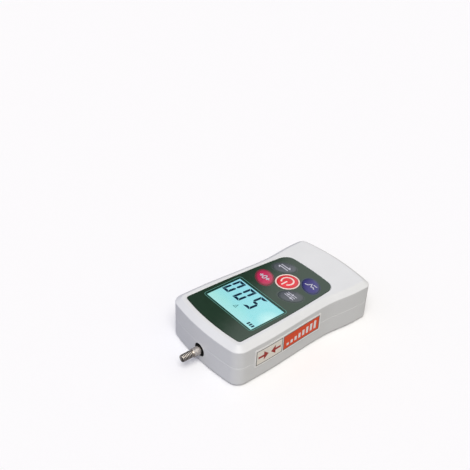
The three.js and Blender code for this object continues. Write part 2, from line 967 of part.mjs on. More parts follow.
// Measuring shaft, turned in one piece, with its lock nut and dust ring
function measuringShaft() {
  const threadEnd = tipY + threadLength;
  const collarStart = threadEnd + reliefLength;
  const collarEnd = collarStart + collarLength;
  const neckEnd = collarEnd + neckLength;
  const rearEnd = cellFrontY + cellBoreDepth - shaftTravel - fitGap;
  const profile = [
    [0, tipY],
    [threadRadius - threadChamfer, tipY],
    [threadRadius, tipY + threadChamfer],
    [threadRadius, threadEnd],
    [reliefRadius, threadEnd + reliefLength / 3],
    [reliefRadius, collarStart],
    [collarRadius, collarStart],
    [collarRadius, collarEnd],
    [neckRadius, collarEnd],
    [neckRadius, neckEnd],
    [shaftRadius, neckEnd],
    [shaftRadius, shaftShoulderY],
    [threadRadius, shaftShoulderY],
    [threadRadius, rearEnd],
    [0, rearEnd],
  ].map(([radius, y]) => new THREE.Vector2(radius, y));
  const shaft = new THREE.LatheGeometry(profile, roundSides);
  return placed(piece("measuring_shaft", solid(shaft), finishes.steel), 0, 0, shaftHeight);
}

function lockNut() {
  const acrossCorners = nutFlats / Math.cos(Math.PI / hexSides);
  const nutRear = cellFrontY - seatGap;
  const body = lengthwise(
    acrossCorners / 2,
    0,
    shaftHeight,
    nutRear - nutThickness,
    nutRear,
    hexSides,
  );
  const bore = lengthwise(
    threadRadius + fitGap,
    0,
    shaftHeight,
    nutRear - nutThickness - overrun,
    nutRear + overrun,
  );
  return piece("shaft_lock_nut", cut(body, bore), finishes.steel);
}

function dustRing() {
  const front = frontY + sideWall + fitGap;
  const back = front + dustRingThickness;
  const ring = cut(
    lengthwise(dustRingRadius, 0, shaftHeight, front, back),
    lengthwise(shaftRadius + 2 * fitGap, 0, shaftHeight, front - overrun, back + overrun),
  );
  return piece("dust_ring", ring, finishes.rubber);
}

// S-shaped load cell: two slots from opposite sides leave a web that bends, with a hole for its gauges
function loadCell() {
  const outline = new THREE.Shape();
  const slotFrontY = cellFrontY + cellBar;
  const slotRearY = cellTailY - cellBar;
  const slotEndX = cellHalfWidth - cellColumn;
  const slotHalf = cellSlot / 2;
  const quarter = Math.PI / 2;
  outline.moveTo(-cellHalfWidth, cellFrontY);
  outline.lineTo(cellHalfWidth, cellFrontY);
  outline.lineTo(cellHalfWidth, slotRearY - cellSlot);
  outline.absarc(-slotEndX, slotRearY - slotHalf, slotHalf, -quarter, -3 * quarter, true);
  outline.lineTo(cellHalfWidth, slotRearY);
  outline.lineTo(cellHalfWidth, cellTailY);
  outline.lineTo(-cellHalfWidth, cellTailY);
  outline.lineTo(-cellHalfWidth, slotFrontY + cellSlot);
  outline.absarc(slotEndX, slotFrontY + slotHalf, slotHalf, quarter, -quarter, true);
  outline.lineTo(-cellHalfWidth, slotFrontY);
  outline.closePath();
  const middleY = (cellFrontY + cellTailY) / 2;
  const body = new THREE.ExtrudeGeometry(outline, {
    depth: cellThickness - 2 * cellBevel,
    bevelThickness: cellBevel,
    bevelSize: cellBevel,
    bevelOffset: -cellBevel,
    bevelSegments: 1,
    curveSegments: cornerSides,
  });
  body.translate(0, 0, cellBottom + cellBevel);
  const coverSeat = coverThickness + seatGap;
  const hollows = [
    upright(cellHoleRadius, 0, middleY, cellBottom - overrun, cellTop + overrun, roundSides),
    upright(coverRadius + fitGap, 0, middleY, cellTop - coverSeat, cellTop + overrun, roundSides),
    upright(coverRadius + fitGap, 0, middleY, cellBottom - overrun, cellBottom + coverSeat, roundSides),
    lengthwise(
      threadRadius + fitGap,
      0,
      shaftHeight,
      cellFrontY - overrun,
      cellFrontY + cellBoreDepth,
    ),
    lengthwise(
      cellBoltRadius + fitGap,
      0,
      shaftHeight,
      cellTailY - cellBoreDepth,
      cellTailY + overrun,
    ),
  ];
  return piece("load_cell", cut(solid(body), ...hollows), finishes.aluminium);
}

function gaugeCovers() {
  const middleY = (cellFrontY + cellTailY) / 2;
  const cover = (name, z) =>
    piece(
      name,
      upright(coverRadius, 0, middleY, z, z + coverThickness, roundSides),
      finishes.aluminium,
    );
  return [
    cover("gauge_cover_top", cellTop - coverThickness),
    cover("gauge_cover_bottom", cellBottom),
  ];
}

// Bracket: a folded plate on the housing's floor, with an upright and two gussets behind the cell
function cellBracket() {
  const uprightFront = cellTailY + seatGap;
  const uprightBack = uprightFront + uprightThickness;
  const top = floorWall + bracketThickness;
  const base = block(
    [-bracketHalfWidth, bracketFrontY, floorWall],
    [bracketHalfWidth, uprightBack, top],
  );
  const wall = block(
    [-uprightHalfWidth, uprightFront, floorWall + bracketThickness / 2],
    [uprightHalfWidth, uprightBack, uprightTop],
  );
  const foot = block(
    [-uprightHalfWidth, uprightBack - uprightThickness / 2, floorWall],
    [uprightHalfWidth, uprightBack + gussetLength / 2, top],
  );
  const gusset = (x) => {
    const shape = shapeOf([
      new THREE.Vector2(uprightBack - uprightThickness / 2, top - bracketThickness / 2),
      new THREE.Vector2(uprightBack + gussetLength / 2, top - bracketThickness / 2),
      new THREE.Vector2(uprightBack + gussetLength / 2, top),
      new THREE.Vector2(uprightBack, shaftHeight),
      new THREE.Vector2(uprightBack - uprightThickness / 2, shaftHeight),
    ]);
    const geometry = new THREE.ExtrudeGeometry(shape, {
      depth: gussetThickness,
      bevelEnabled: false,
    });
    // The shape is drawn in Y and Z and runs along X.
    geometry.applyMatrix4(
      new THREE.Matrix4().makeBasis(
        new THREE.Vector3(0, 1, 0),
        new THREE.Vector3(0, 0, 1),
        new THREE.Vector3(1, 0, 0),
      ),
    );
    geometry.translate(x - gussetThickness / 2, 0, 0);
    return solid(geometry);
  };
  const insertHoles = insertPlaces.map(([x, y]) =>
    upright(insertRadius + fitGap, x, y, floorWall - overrun, top + overrun),
  );
  const boltHole = lengthwise(
    cellBoltRadius + fitGap,
    0,
    shaftHeight,
    uprightFront - overrun,
    uprightBack + overrun,
  );
  return piece(
    "cell_bracket",
    cut(join(base, wall, foot, gusset(-gussetX), gusset(gussetX)), ...insertHoles, boltHole),
    finishes.steel,
  );
}

function cellBolt() {
  const seat = cellTailY + 2 * seatGap + uprightThickness;
  const head = lengthwise(
    cellBoltHeadRadius,
    0,
    shaftHeight,
    seat,
    seat + cellBoltHeadHeight,
    smallSides,
  );
  const shank = lengthwise(
    cellBoltRadius,
    0,
    shaftHeight,
    cellTailY - cellBoreDepth + fitGap,
    seat + cellBoltHeadHeight / 2,
    smallSides,
  );
  const socket = lengthwise(
    cellBoltSocketRadius,
    0,
    shaftHeight,
    seat + cellBoltHeadHeight - cellBoltSocketDepth,
    seat + cellBoltHeadHeight + overrun,
    hexSides,
  );
  return piece("cell_bolt", cut(join(head, shank), socket), finishes.steel);
}

// Brass inserts, flush with the back and flanged over the bracket
function insertForm() {
  const flangeBottom = floorWall + bracketThickness + seatGap;
  return cut(
    join(
      upright(insertRadius, 0, 0, insertSink, flangeBottom + insertFlangeThickness / 2),
      upright(insertFlangeRadius, 0, 0, flangeBottom, flangeBottom + insertFlangeThickness),
    ),
    upright(insertBore, 0, 0, 0, flangeBottom + insertFlangeThickness + overrun, tinySides),
  );
}

function standInserts() {
  const form = geometryOf(insertForm());
  return insertPlaces.map(([x, y], k) =>
    placed(piece(`stand_insert_${k + 1}`, form, finishes.brass), x, y, 0),
  );
}

// A screw with a pan head below its seat and its shank above it
function screwForm({ shank, length, head, headHeight }) {
  const profile = [
    [0, -headHeight],
    [head * screwCrownShare, -headHeight],
    [head, -headHeight * screwRimShare],
    [head, 0],
    [shank, 0],
    [shank, length - shank],
    [shank * screwPointShare, length],
    [0, length],
  ].map(([radius, z]) => new THREE.Vector2(radius, z));
  const geometry = new THREE.LatheGeometry(profile, tinySides);
  geometry.rotateX(Math.PI / 2);
  return geometryOf(solid(geometry));
}

const smallScrewForm = screwForm({
  shank: smallScrewRadius,
  length: smallScrewLength,
  head: smallHeadRadius,
  headHeight: smallHeadHeight,
});

function caseScrews() {
  const form = screwForm({
    shank: caseScrewRadius,
    length: caseScrewLength,
    head: caseHeadRadius,
    headHeight: caseHeadHeight,
  });
  return caseScrewPlaces.map(([x, y], k) =>
    placed(
      piece(`case_screw_${k + 1}`, form, finishes.steel),
      x,
      y,
      caseHeadSink + caseHeadHeight,
    ),
  );
}

function boardScrews() {
  return boardScrewPlaces.map(([x, y], k) => {
    const mesh = piece(`board_screw_${k + 1}`, smallScrewForm, finishes.steel);
    return placed(mesh, x, y, boardBottom - seatGap);
  });
}

function clampScrews() {
  return clampPostPlaces.map(([x, y], k) => {
    const mesh = piece(`clamp_screw_${k + 1}`, smallScrewForm, finishes.steel);
    mesh.rotation.x = Math.PI;
    return placed(mesh, x, y, clampBottom + clampThickness + 2 * seatGap);
  });
}

// Battery cells lie across the housing in the cradle ribs, under one clamp
function batteryCells() {
  const half = batteryLength / 2;
  const body = half - batteryNubHeight;
  const profile = [
    [0, -half],
    [batteryRadius - batteryEdge, -half],
    [batteryRadius, -half + batteryEdge],
    [batteryRadius, body - batteryEdge],
    [batteryRadius - batteryEdge, body],
    [batteryNubRadius, body],
    [batteryNubRadius, half],
    [0, half],
  ].map(([radius, along]) => new THREE.Vector2(radius, along));
  const geometry = new THREE.LatheGeometry(profile, smallSides);
  geometry.rotateZ(-Math.PI / 2);
  const form = geometryOf(solid(geometry));
  return batteryPlaces().map((y, k) => {
    const mesh = piece(`battery_cell_${k + 1}`, form, finishes.battery);
    mesh.rotation.z = k % 2 ? Math.PI : 0;
    return placed(mesh, 0, y, batteryAxis);
  });
}

function batteryClamp() {
  const length = batteryCount * batteryPitch;
  const bottom = clampBottom + seatGap;
  const strap = raised(
    roundedBox(0, batteryMiddleY, 2 * clampHalfWidth, length, clampCorner),
    bottom,
    bottom + clampThickness,
  );
  const ears = raised(
    roundedBox(
      0,
      batteryMiddleY,
      2 * (clampPostX + clampPostRadius),
      2 * clampEarHalfWidth,
      clampCorner,
    ),
    bottom,
    bottom + clampThickness,
  );
  const holes = clampPostPlaces.map(([x, y]) =>
    upright(smallScrewRadius + fitGap, x, y, bottom - overrun, bottom + 2 * clampThickness, tinySides),
  );
  return piece("battery_clamp", cut(join(strap, ears), ...holes), finishes.blackPlastic);
}

// Sockets at the tail. Their outer ends lie a little inside the wall's face.
function socketPosts() {
  return [
    { x: chargeX, bottom: socketHeight - chargeBodyHeight / 2, depth: chargeBodyDepth },
    { x: dataX, bottom: socketHeight - dataHeight / 2, depth: dataBodyDepth },
  ].map(({ x, bottom, depth }) => {
    const back = tailFaceAt(x) - sideWall - fitGap - depth / 2;
    return block(
      [x - socketPostWidth / 2, back - socketPostDepth / 2, floorWall / 2],
      [x + socketPostWidth / 2, back + socketPostDepth / 2, bottom - seatGap],
    );
  });
}

function chargeSocket() {
  const halfWidth = chargeBodyWidth / 2;
  const mouth = socketShoulderY + fitGap + sideWall - socketSink;
  const halfHeight = chargeBodyHeight / 2;
  const body = block(
    [chargeX - halfWidth, socketShoulderY - chargeBodyDepth, socketHeight - halfHeight],
    [chargeX + halfWidth, socketShoulderY, socketHeight + halfHeight],
  );
  const sleeve = lengthwise(
    chargeSleeveRadius,
    chargeX,
    socketHeight,
    socketShoulderY - fitGap,
    mouth,
  );
  const bore = lengthwise(
    chargeBoreRadius,
    chargeX,
    socketHeight,
    mouth - chargeBoreDepth,
    mouth + overrun,
    smallSides,
  );
  const pin = lengthwise(
    chargePinRadius,
    chargeX,
    socketHeight,
    mouth - chargeBoreDepth - fitGap,
    mouth - chargeBoreDepth + chargePinLength,
    tinySides,
  );
  return piece(
    "charge_socket",
    join(cut(join(body, sleeve), bore), pin),
    finishes.blackPlastic,
  );
}

function slotForm(width, height, corner, y0, y1) {
  const shape = roundedBox(0, 0, height, width, corner);
  const geometry = new THREE.ExtrudeGeometry(shape, {
    depth: y1 - y0,
    bevelEnabled: false,
    curveSegments: cornerSides,
  });
  // The shape is drawn in Z and X and runs along Y.
  geometry.applyMatrix4(
    new THREE.Matrix4().makeBasis(
      new THREE.Vector3(0, 0, 1),
      new THREE.Vector3(1, 0, 0),
      new THREE.Vector3(0, 1, 0),
    ),
  );
  geometry.translate(dataX, y0, socketHeight);
  return solid(geometry);
}

function dataOpening() {
  return slotForm(
    dataWidth + 2 * fitGap,
    dataHeight + 2 * fitGap,
    dataCorner,
    tailWallInside(dataX + dataWidth / 2),
    tailY + overrun,
  );
}

function dataSocket() {
  const mouth = tailFaceAt(dataX + dataWidth / 2) - socketSink;
  const back = mouth - dataBodyDepth;
  const inner = 2 * dataWall;
  const shell = cut(
    slotForm(dataWidth, dataHeight, dataCorner, back, mouth),
    slotForm(
      dataWidth - inner,
      dataHeight - inner,
      dataCorner - dataWall,
      back + inner,
      mouth + overrun,
    ),
  );
  const tongue = block(
    [dataX - dataTongueWidth / 2, back + dataWall, socketHeight - dataTongueHeight / 2],
    [dataX + dataTongueWidth / 2, mouth - inner, socketHeight + dataTongueHeight / 2],
  );
  return piece("data_socket", join(shell, tongue), finishes.steel);
}

// Leads: from the load cell, and from the battery pack, up to the board
function leadPiece(name, points, material) {
  const path = new THREE.CatmullRomCurve3(points, false, "centripetal");
  const circle = ellipsePoints(leadRadius, leadRadius, leadSides);
  const geometry = new THREE.ExtrudeGeometry(shapeOf(circle), {
    extrudePath: path,
    steps: leadSteps,
    bevelEnabled: false,
  });
  return piece(name, solid(geometry), material);
}

function leads() {
  const rise = boardBottom - cellTop;
  const plugFace = boardBottom - connectorHeight - fitGap;
  const cellLead = leadPiece(
    "cell_lead",
    [
      new THREE.Vector3(cellLeadExitX, cellLeadExitY, cellTop + fitGap),
      new THREE.Vector3(cellLeadExitX, cellLeadExitY, cellTop + rise / 6),
      new THREE.Vector3(cellLeadExitX + leadRadius, cellLeadExitY / 2, cellTop + rise / 3),
      new THREE.Vector3(connectorX, connectorY - 2 * connectorDepth, cellTop + rise / 4),
      new THREE.Vector3(connectorX, connectorY - connectorDepth / 4, plugFace - leadRadius),
      new THREE.Vector3(connectorX, connectorY - connectorDepth / 4, plugFace),
    ],
    finishes.whitePlastic,
  );
  const lastY = batteryFirstY;
  const batteryLead = leadPiece(
    "battery_lead",
    [
      new THREE.Vector3(batteryLength / 2 + fitGap, lastY, batteryAxis),
      new THREE.Vector3(batteryLeadX, lastY, batteryAxis),
      new THREE.Vector3(batteryLeadX + 2 * leadRadius, lastY, batteryAxis + batteryRadius),
      new THREE.Vector3(batteryLeadX + leadRadius, lastY, cellTop),
      new THREE.Vector3(batteryLeadX, lastY, boardBottom - 2 * leadRadius),
      new THREE.Vector3(batteryLeadX, lastY, boardBottom - fitGap),
    ],
    finishes.red,
  );
  return [cellLead, batteryLead];
}

// Blank label that follows the right side's curve
function sideLabel() {
  const side = bodyPlan.filter(({ x, y }) => x > 0 && y > labelFrontY && y < labelTailY);
  const edge = (y) => {
    const x = bodyHalfWidthAt(y);
    const rise = bodyHalfWidthAt(y + slopeStep) - bodyHalfWidthAt(y - slopeStep);
    const normal = new THREE.Vector2(2 * slopeStep, -rise).normalize();
    return { x, y, nx: normal.x, ny: normal.y };
  };
  const strip = [edge(labelFrontY), ...side, edge(labelTailY)];
  const outer = drawnIn(strip, -seatGap - labelThickness);
  const inner = drawnIn(strip, -seatGap).reverse();
  return piece(
    "side_label",
    raised(shapeOf([...outer, ...inner]), labelBottom, labelTop),
    finishes.label,
  );
}

// The assembly, grouped as it comes apart on a bench
function groupOf(...meshes) {
  const group = new THREE.Group();
  group.add(...meshes);
  return group;
}

const housing = groupOf(frontShell(), rearShell(), sideLabel(), ...caseScrews());
const face = groupOf(frontOverlay(), displayWindow(), powerRing(), ...keys.map(keyPiece));
const electronics = groupOf(
  mainBoard(),
  ...lcdPieces(),
  ...keys.map(switchPiece),
  ...boardPieces(),
  ...boardScrews(),
  ...leads(),
);
const measuring = groupOf(
  measuringShaft(),
  lockNut(),
  dustRing(),
  loadCell(),
  ...gaugeCovers(),
  cellBracket(),
  cellBolt(),
  ...standInserts(),
);
const power = groupOf(
  ...batteryCells(),
  batteryClamp(),
  ...clampScrews(),
  chargeSocket(),
  dataSocket(),
);

export default groupOf(housing, face, electronics, measuring, power);
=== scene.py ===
import math
from collections import namedtuple

import bmesh
import bpy
from bpy.props import FloatProperty, FloatVectorProperty, IntProperty
from bpy.props import PointerProperty, StringProperty
from mathutils import Matrix, Vector


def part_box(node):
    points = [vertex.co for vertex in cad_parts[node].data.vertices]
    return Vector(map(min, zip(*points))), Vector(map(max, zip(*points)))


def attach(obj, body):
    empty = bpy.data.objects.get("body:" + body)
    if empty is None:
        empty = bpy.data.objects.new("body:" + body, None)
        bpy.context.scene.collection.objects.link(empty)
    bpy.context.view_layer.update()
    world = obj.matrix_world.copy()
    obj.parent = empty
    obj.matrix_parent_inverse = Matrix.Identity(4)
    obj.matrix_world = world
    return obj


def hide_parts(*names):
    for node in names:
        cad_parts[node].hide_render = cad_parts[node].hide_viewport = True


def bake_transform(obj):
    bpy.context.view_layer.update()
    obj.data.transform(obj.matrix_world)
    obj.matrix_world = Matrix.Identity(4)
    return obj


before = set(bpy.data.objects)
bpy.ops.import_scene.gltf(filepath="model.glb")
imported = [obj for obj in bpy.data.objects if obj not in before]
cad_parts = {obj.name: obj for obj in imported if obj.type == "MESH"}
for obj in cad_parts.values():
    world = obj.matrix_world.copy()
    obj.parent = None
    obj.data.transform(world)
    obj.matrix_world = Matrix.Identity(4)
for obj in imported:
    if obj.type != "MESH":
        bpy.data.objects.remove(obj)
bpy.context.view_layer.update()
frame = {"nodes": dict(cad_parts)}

bl_info = {
    "name": "Force gauge finisher",
    "version": (1, 0, 0),
    "blender": (4, 5, 0),
    "location": "3D View > Sidebar > Gauge",
    "description": "Gives the packed force gauge its finer shapes and its finishes",
    "category": "Object",
}

# Which colour each key has
KEY_TINTS = {"power": "red", "unit": "slate", "peak": "indigo", "zero": "crimson", "set": "slate"}

# In how many steps a curve is drawn
ARC_STEPS = 20
CORNER_STEPS = 12
SIDE_STEPS = 56
ROLL_STEPS = 10
EDGE_STEPS = 5
LIP_STEPS = 5
FRAME_STEPS = 8
SMALL_STEPS = 3
BAND_STEPS = 6
DOME_STEPS = 26
TRIM_STEPS = 12
HEAD_STEPS = 8
SIGN_STEPS = 48
THREAD_ROWS = 12
ROUND_SIDES = 96
SMALL_SIDES = 48
OVAL_SIDES = 32

# Where an outline's corner touches its side, and the slope there
HALVINGS = 48
SLOPE_STEP = 0.00001

# How far a cutter runs past a surface, and how deep a hole in a wall is cut
OVERRUN = 0.001
HOLE_DEPTH = 0.006

# From this share of its skin on, a shell's finer outside overlaps its packed inside
OVERLAP = 0.8

# Thickness of printed and plated layers: below the surface that carries them and over it
LINE_SINK = 0.00004
LINE_LIFT = 0.00002
PRINT_SINK = 0.00002
PRINT_LIFT = 0.00005
PLATE_SINK = 0.00005
PLATE_LIFT = 0.00004

# Edges of the dark side in the studio, as the sideways part of a direction, and the sky's spread
FLAG_START = -0.584
FLAG_END = -0.572
SKY_SPREAD = 1.1

# The camera's sensor in millimetres, and its nearest and farthest reach
SENSOR = 36.0
NEAREST = 0.01
FARTHEST = 50.0

# Angles over which an edge stays sharp
CREASE = math.radians(32)
THREAD_CREASE = math.radians(40)

# Form of a key's dome: how flat its middle is, and how round its shoulder
DOME_FLATNESS = 2.6
DOME_SHOULDER = 0.75

# How far a thread's flanks would rise over its crests, which leaves them flat
THREAD_RISE = 1.2

# A screw's head: slope of its rim, domed share of its height, and the turn of its recess
HEAD_RIM = math.radians(35)
HEAD_DOME = 0.6
RECESS_TURN = 0.3

# How closely the points of thin raised work follow one another
KEY_SPACING = 0.0004
LABEL_SPACING = 0.0008
FLAT_SPACING = 0.002


def low(node):
    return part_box(node)[0]


def high(node):
    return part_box(node)[1]


def middle(node):
    return (low(node) + high(node)) / 2


def spans(node):
    """Width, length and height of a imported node"""
    return [high(node)[axis] - low(node)[axis] for axis in range(3)]


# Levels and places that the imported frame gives
PARTING_Z = low("front_shell").z
TOP_Z = high("front_shell").z
FRONT_Y = low("rear_shell").y
TAIL_Y = high("rear_shell").y
FILM_FLOOR_Z = low("front_overlay").z
FILM_TOP_Z = high("front_overlay").z
GLASS_TOP_Z = high("lcd_glass").z
SHAFT_Z = middle("measuring_shaft").z
TIP_Y = low("measuring_shaft").y
WINDOW_Y = middle("display_window").y
BOTTOM_Z = low("rear_shell").z


# Sizes and colours that a user would change
def setting(kind, **options):
    """A maker of properties of one kind, from their name, default and description"""

    def make(name, default, description):
        return kind(name=name, default=default, description=description, **options)

    return make


def angle(name, degrees, description):
    return setting(FloatProperty, unit="ROTATION")(name, math.radians(degrees), description)


length = setting(FloatProperty, unit="LENGTH", precision=5)
strength = setting(FloatProperty, min=0.0)
focus = setting(FloatProperty, unit="CAMERA")
count = setting(IntProperty, min=1)
text = setting(StringProperty)
colour = setting(FloatVectorProperty, subtype="COLOR", size=3, min=0.0, max=1.0)


class HousingSettings(bpy.types.PropertyGroup):
    front_half_width: length("Front half width", 0.0407, "Half the width at the front end")
    waist_half_width: length("Waist half width", 0.0377, "Half the width at the narrowest place")
    tail_half_width: length("Tail half width", 0.0404, "Half the width at the tail")
    waist_start: length("Waist start", -0.048, "Where the sides start to draw in")
    waist: length("Waist", 0.022, "Where the sides are closest")
    flare_end: length("Flare end", 0.056, "Where the sides are wide again")
    front_arc: length("Front arc radius", 0.200, "Radius of the front end seen from above")
    tail_arc: length("Tail arc radius", 0.185, "Radius of the tail end seen from above")
    front_corner: length("Front corner radius", 0.0095, "Radius of the front corners")
    tail_corner: length("Tail corner radius", 0.0065, "Radius of the tail corners")
    bevel_inset: length("Bevel inset", 0.0054, "From the wall to where the flat top starts")
    bevel_slope: angle("Bevel slope", 35, "Slope of the bevelled top edge")
    crease: length("Crease radius", 0.0009, "Rounding between the bevel and the wall")
    shoulder: length("Shoulder radius", 0.0014, "Rounding between the bevel and the flat top")
    base_roll: length("Base edge roll", 0.0025, "Radius of the rolled edge round the back")
    groove: length("Parting groove", 0.00018, "Bevel of both shells along the parting line")
    lip: length("Lip radius", 0.0007, "Rounding of the lip round the overlay")
    hole_lip: length("Hole lip radius", 0.0004, "Rounding of the mouths of the holes")
    skin: length("Skin", 0.0012, "Depth of the outside that is modelled finer")
    seat_gap: length("Overlay gap", 0.0002, "Gap between the overlay and its recess")
    key_gap: length("Key gap", 0.0003, "Gap between the keys and the shell")
    colour: colour("Plastic", (0.775, 0.783, 0.785), "Colour of the housing")


class OverlaySettings(bpy.types.PropertyGroup):
    half_width: length("Half width", 0.0323, "Half the width of the film at its widest")
    widest: length("Widest place", -0.0599, "Where the film is widest")
    side_radius: length("Side radius", 1.020, "Radius of the film's sides")
    front: length("Front", -0.065, "Front edge of the film")
    front_radius: length("Front radius", 0.188, "Radius of the front edge")
    tail: length("Tail", 0.041, "Tail edge of the film")
    tail_radius: length("Tail radius", 0.241, "Radius of the tail edge")
    front_corner: length("Front corner", 0.0024, "Radius of the front corners")
    tail_corner: length("Tail corner", 0.0095, "Radius of the tail corners")
    edge: length("Edge rounding", 0.00015, "Rounding of the film's edges")
    key_gap: length("Key gap", 0.00016, "Gap between the film and the keys")
    line_width: length("Line width", 0.00045, "Width of the thin line round the display")
    line_span: length("Line span", 0.0565, "Width of the thin line's rectangle")
    line_length: length("Line length", 0.0371, "Length of the thin line's rectangle")
    halo: length("Key halo", 0.0012, "How far the keys' colours run out over the film")
    colour: colour("Film", (0.016, 0.040, 0.023), "Colour of the film")
    line_colour: colour("Line", (0.09, 0.28, 0.23), "Colour of the thin line")


class DisplaySettings(bpy.types.PropertyGroup):
    view_width: length("Picture width", 0.0533, "Width of the lit picture")
    view_length: length("Picture length", 0.0336, "Length of the lit picture")
    view_x: length("Picture, across", 0.0001, "Middle of the lit picture")
    view_y: length("Picture, along", -0.0301, "Middle of the lit picture")
    corner: length("Window corner", 0.0012, "Corner radius of the window")
    opening_width: length("Opening width", 0.054, "Width of the opening in the shell")
    opening_length: length("Opening length", 0.0344, "Length of the opening in the shell")
    reading: text("Reading", "005", "Digits on the display")
    digit_x: length("First digit, across", -0.0262, "Left foot of the first digit")
    digit_y: length("First digit, along", -0.0322, "Feet of the digits")
    digit_width: length("Digit width", 0.0077, "Width of a digit")
    digit_height: length("Digit height", 0.0178, "Height of a digit")
    digit_pitch: length("Digit pitch", 0.0130, "From digit to digit")
    slant: length("Slant", 0.0015, "How far a digit's head leans over its feet")
    segment: length("Segment", 0.0023, "Width of a segment")
    segment_gap: length("Segment gap", 0.00022, "Gap between segments")
    bars: count("Battery bars", 3, "Bars of the battery sign")
    bars_x: length("Bars, across", 0.0184, "Left foot of the first bar")
    bars_y: length("Bars, along", -0.0443, "Feet of the bars")
    bar_width: length("Bar width", 0.0015, "Width of a bar")
    bar_height: length("Bar height", 0.0030, "Height of a bar")
    bar_pitch: length("Bar pitch", 0.0024, "From bar to bar")
    ink: colour("Ink", (0.0006, 0.019, 0.058), "Colour of the digits")
    faint_ink: colour("Faint ink", (0.05, 0.20, 0.22), "Colour of the sign under the digits")
    sign_x: length("Sign, across", -0.0030, "Left foot of the small triangle")
    sign_y: length("Sign, along", -0.0390, "Feet of the small triangle")
    sign_top: length("Sign top", 0.0016, "From the triangle's left foot across to its top")
    sign_width: length("Sign width", 0.0028, "Width of the small triangle")
    sign_height: length("Sign height", 0.0036, "Height of the small triangle")
    sign_stroke: length("Sign stroke", 0.00045, "Width of the small triangle's strokes")
    glow: colour("Light", (0.29, 0.70, 0.74), "Colour of the lit picture")
    front_glow: colour("Light, front left", (0.34, 0.74, 0.66), "Its colour at the front left")
    edge_glow: colour("Light, front edge", (0.42, 0.76, 0.76), "Its colour along the front edge")
    rear_glow: colour("Light, rear left", (0.29, 0.66, 0.78), "Its colour at the rear left")
    lamp_glow: colour("Light, lamps", (0.60, 0.90, 0.88), "Its colour by the lamps")
    lamp_x: length("Lamps, across", 0.027, "Place of the lamps")
    lamp_y: length("Lamps, along", -0.028, "Place of the lamps")
    frame: colour("Frame", (0.006, 0.052, 0.036), "Colour of the frame round the picture")


class KeySettings(bpy.types.PropertyGroup):
    half_long: length("Petal half length", 0.0101, "Half the length of a petal key")
    half_short: length("Petal half width", 0.0068, "Half the width of a petal key")
    turn: angle("Petal turn", 31, "Angle of a petal key to the housing's width")
    power_radius: length("Power key radius", 0.0087, "Radius of the round key")
    proud: length("Rim height", 0.00012, "Height of a key's rim over the film")
    flange: length("Flange", 0.0007, "How far a key's flange reaches out under the shell")
    flange_thickness: length("Flange thickness", 0.0008, "Thickness of a key's flange")
    stem: length("Stem radius", 0.0022, "Radius of the stem over the switch")
    skirt: length("Skirt", 0.0029, "From the film's floor down to the flange")
    sign_reach: length("Sign reach", 0.005, "From a key's middle to the ends of its sign")
    sign_stroke: length("Sign stroke", 0.00095, "Width of the strokes of a key's sign")
    sign_height: length("Sign height", 0.00004, "How far a sign stands over its key")
    sign_sink: length("Sign depth", 0.0001, "How far a sign reaches into its key")
    sign_colour: colour("Signs", (0.56, 0.56, 0.64), "Colour of the signs on the petal keys")
    red: colour("Power red", (0.80, 0.028, 0.044), "Colour of the round key")
    cream: colour("Cream", (0.95, 0.76, 0.69), "Colour of the ring and the power sign")
    crimson: colour("Crimson", (0.56, 0.010, 0.090), "Colour of the zero key")
    indigo: colour("Indigo", (0.036, 0.030, 0.20), "Colour of the peak key")
    slate: colour("Slate", (0.088, 0.100, 0.118), "Colour of the unit and set keys")


class ShaftSettings(bpy.types.PropertyGroup):
    pitch: length("Pitch", 0.00125, "Pitch of the thread")
    thread_radius: length("Thread radius", 0.003, "Outer radius of the thread")
    thread_depth: length("Thread depth", 0.00061, "Depth of the thread")
    thread_length: length("Thread length", 0.0095, "Length of the thread")
    relief: length("Relief", 0.0006, "Length of the relief behind the thread")
    collar: length("Collar", 0.0016, "Length of the collar")
    collar_radius: length("Collar radius", 0.0036, "Radius of the collar")
    neck: length("Neck", 0.0011, "Length of the neck behind the collar")
    neck_radius: length("Neck radius", 0.0032, "Radius of the neck")
    body_radius: length("Shaft radius", 0.0035, "Radius of the plain shaft")
    shoulder: length("Shoulder", -0.052, "Where the shaft steps down to its rear thread")
    chamfer: length("Chamfer", 0.00025, "Bevel of the turned edges")
    point: length("Point", 0.00045, "Bevel of the thread's front end")
    # Painted shade: a black lining in the shaft's hole darkens its wall as shade would
    bushing: length("Bushing", 0.0005, "Wall of the black bushing in the hole")
    hole_radius: length("Hole radius", 0.0057, "Radius of the hole in the front wall")
    colour: colour("Steel", (0.66, 0.61, 0.56), "Colour of the shaft")
    # Painted shade in the thread's roots
    root_shade_colour: colour("Thread roots", (0.030, 0.021, 0.016), "Colour of the thread's oiled roots")
    seal_colour: colour("Seal", (0.010, 0.010, 0.011), "Colour of the seal")
    dust_colour: colour("Dust", (0.034, 0.033, 0.032), "Colour of the dust on the seal")


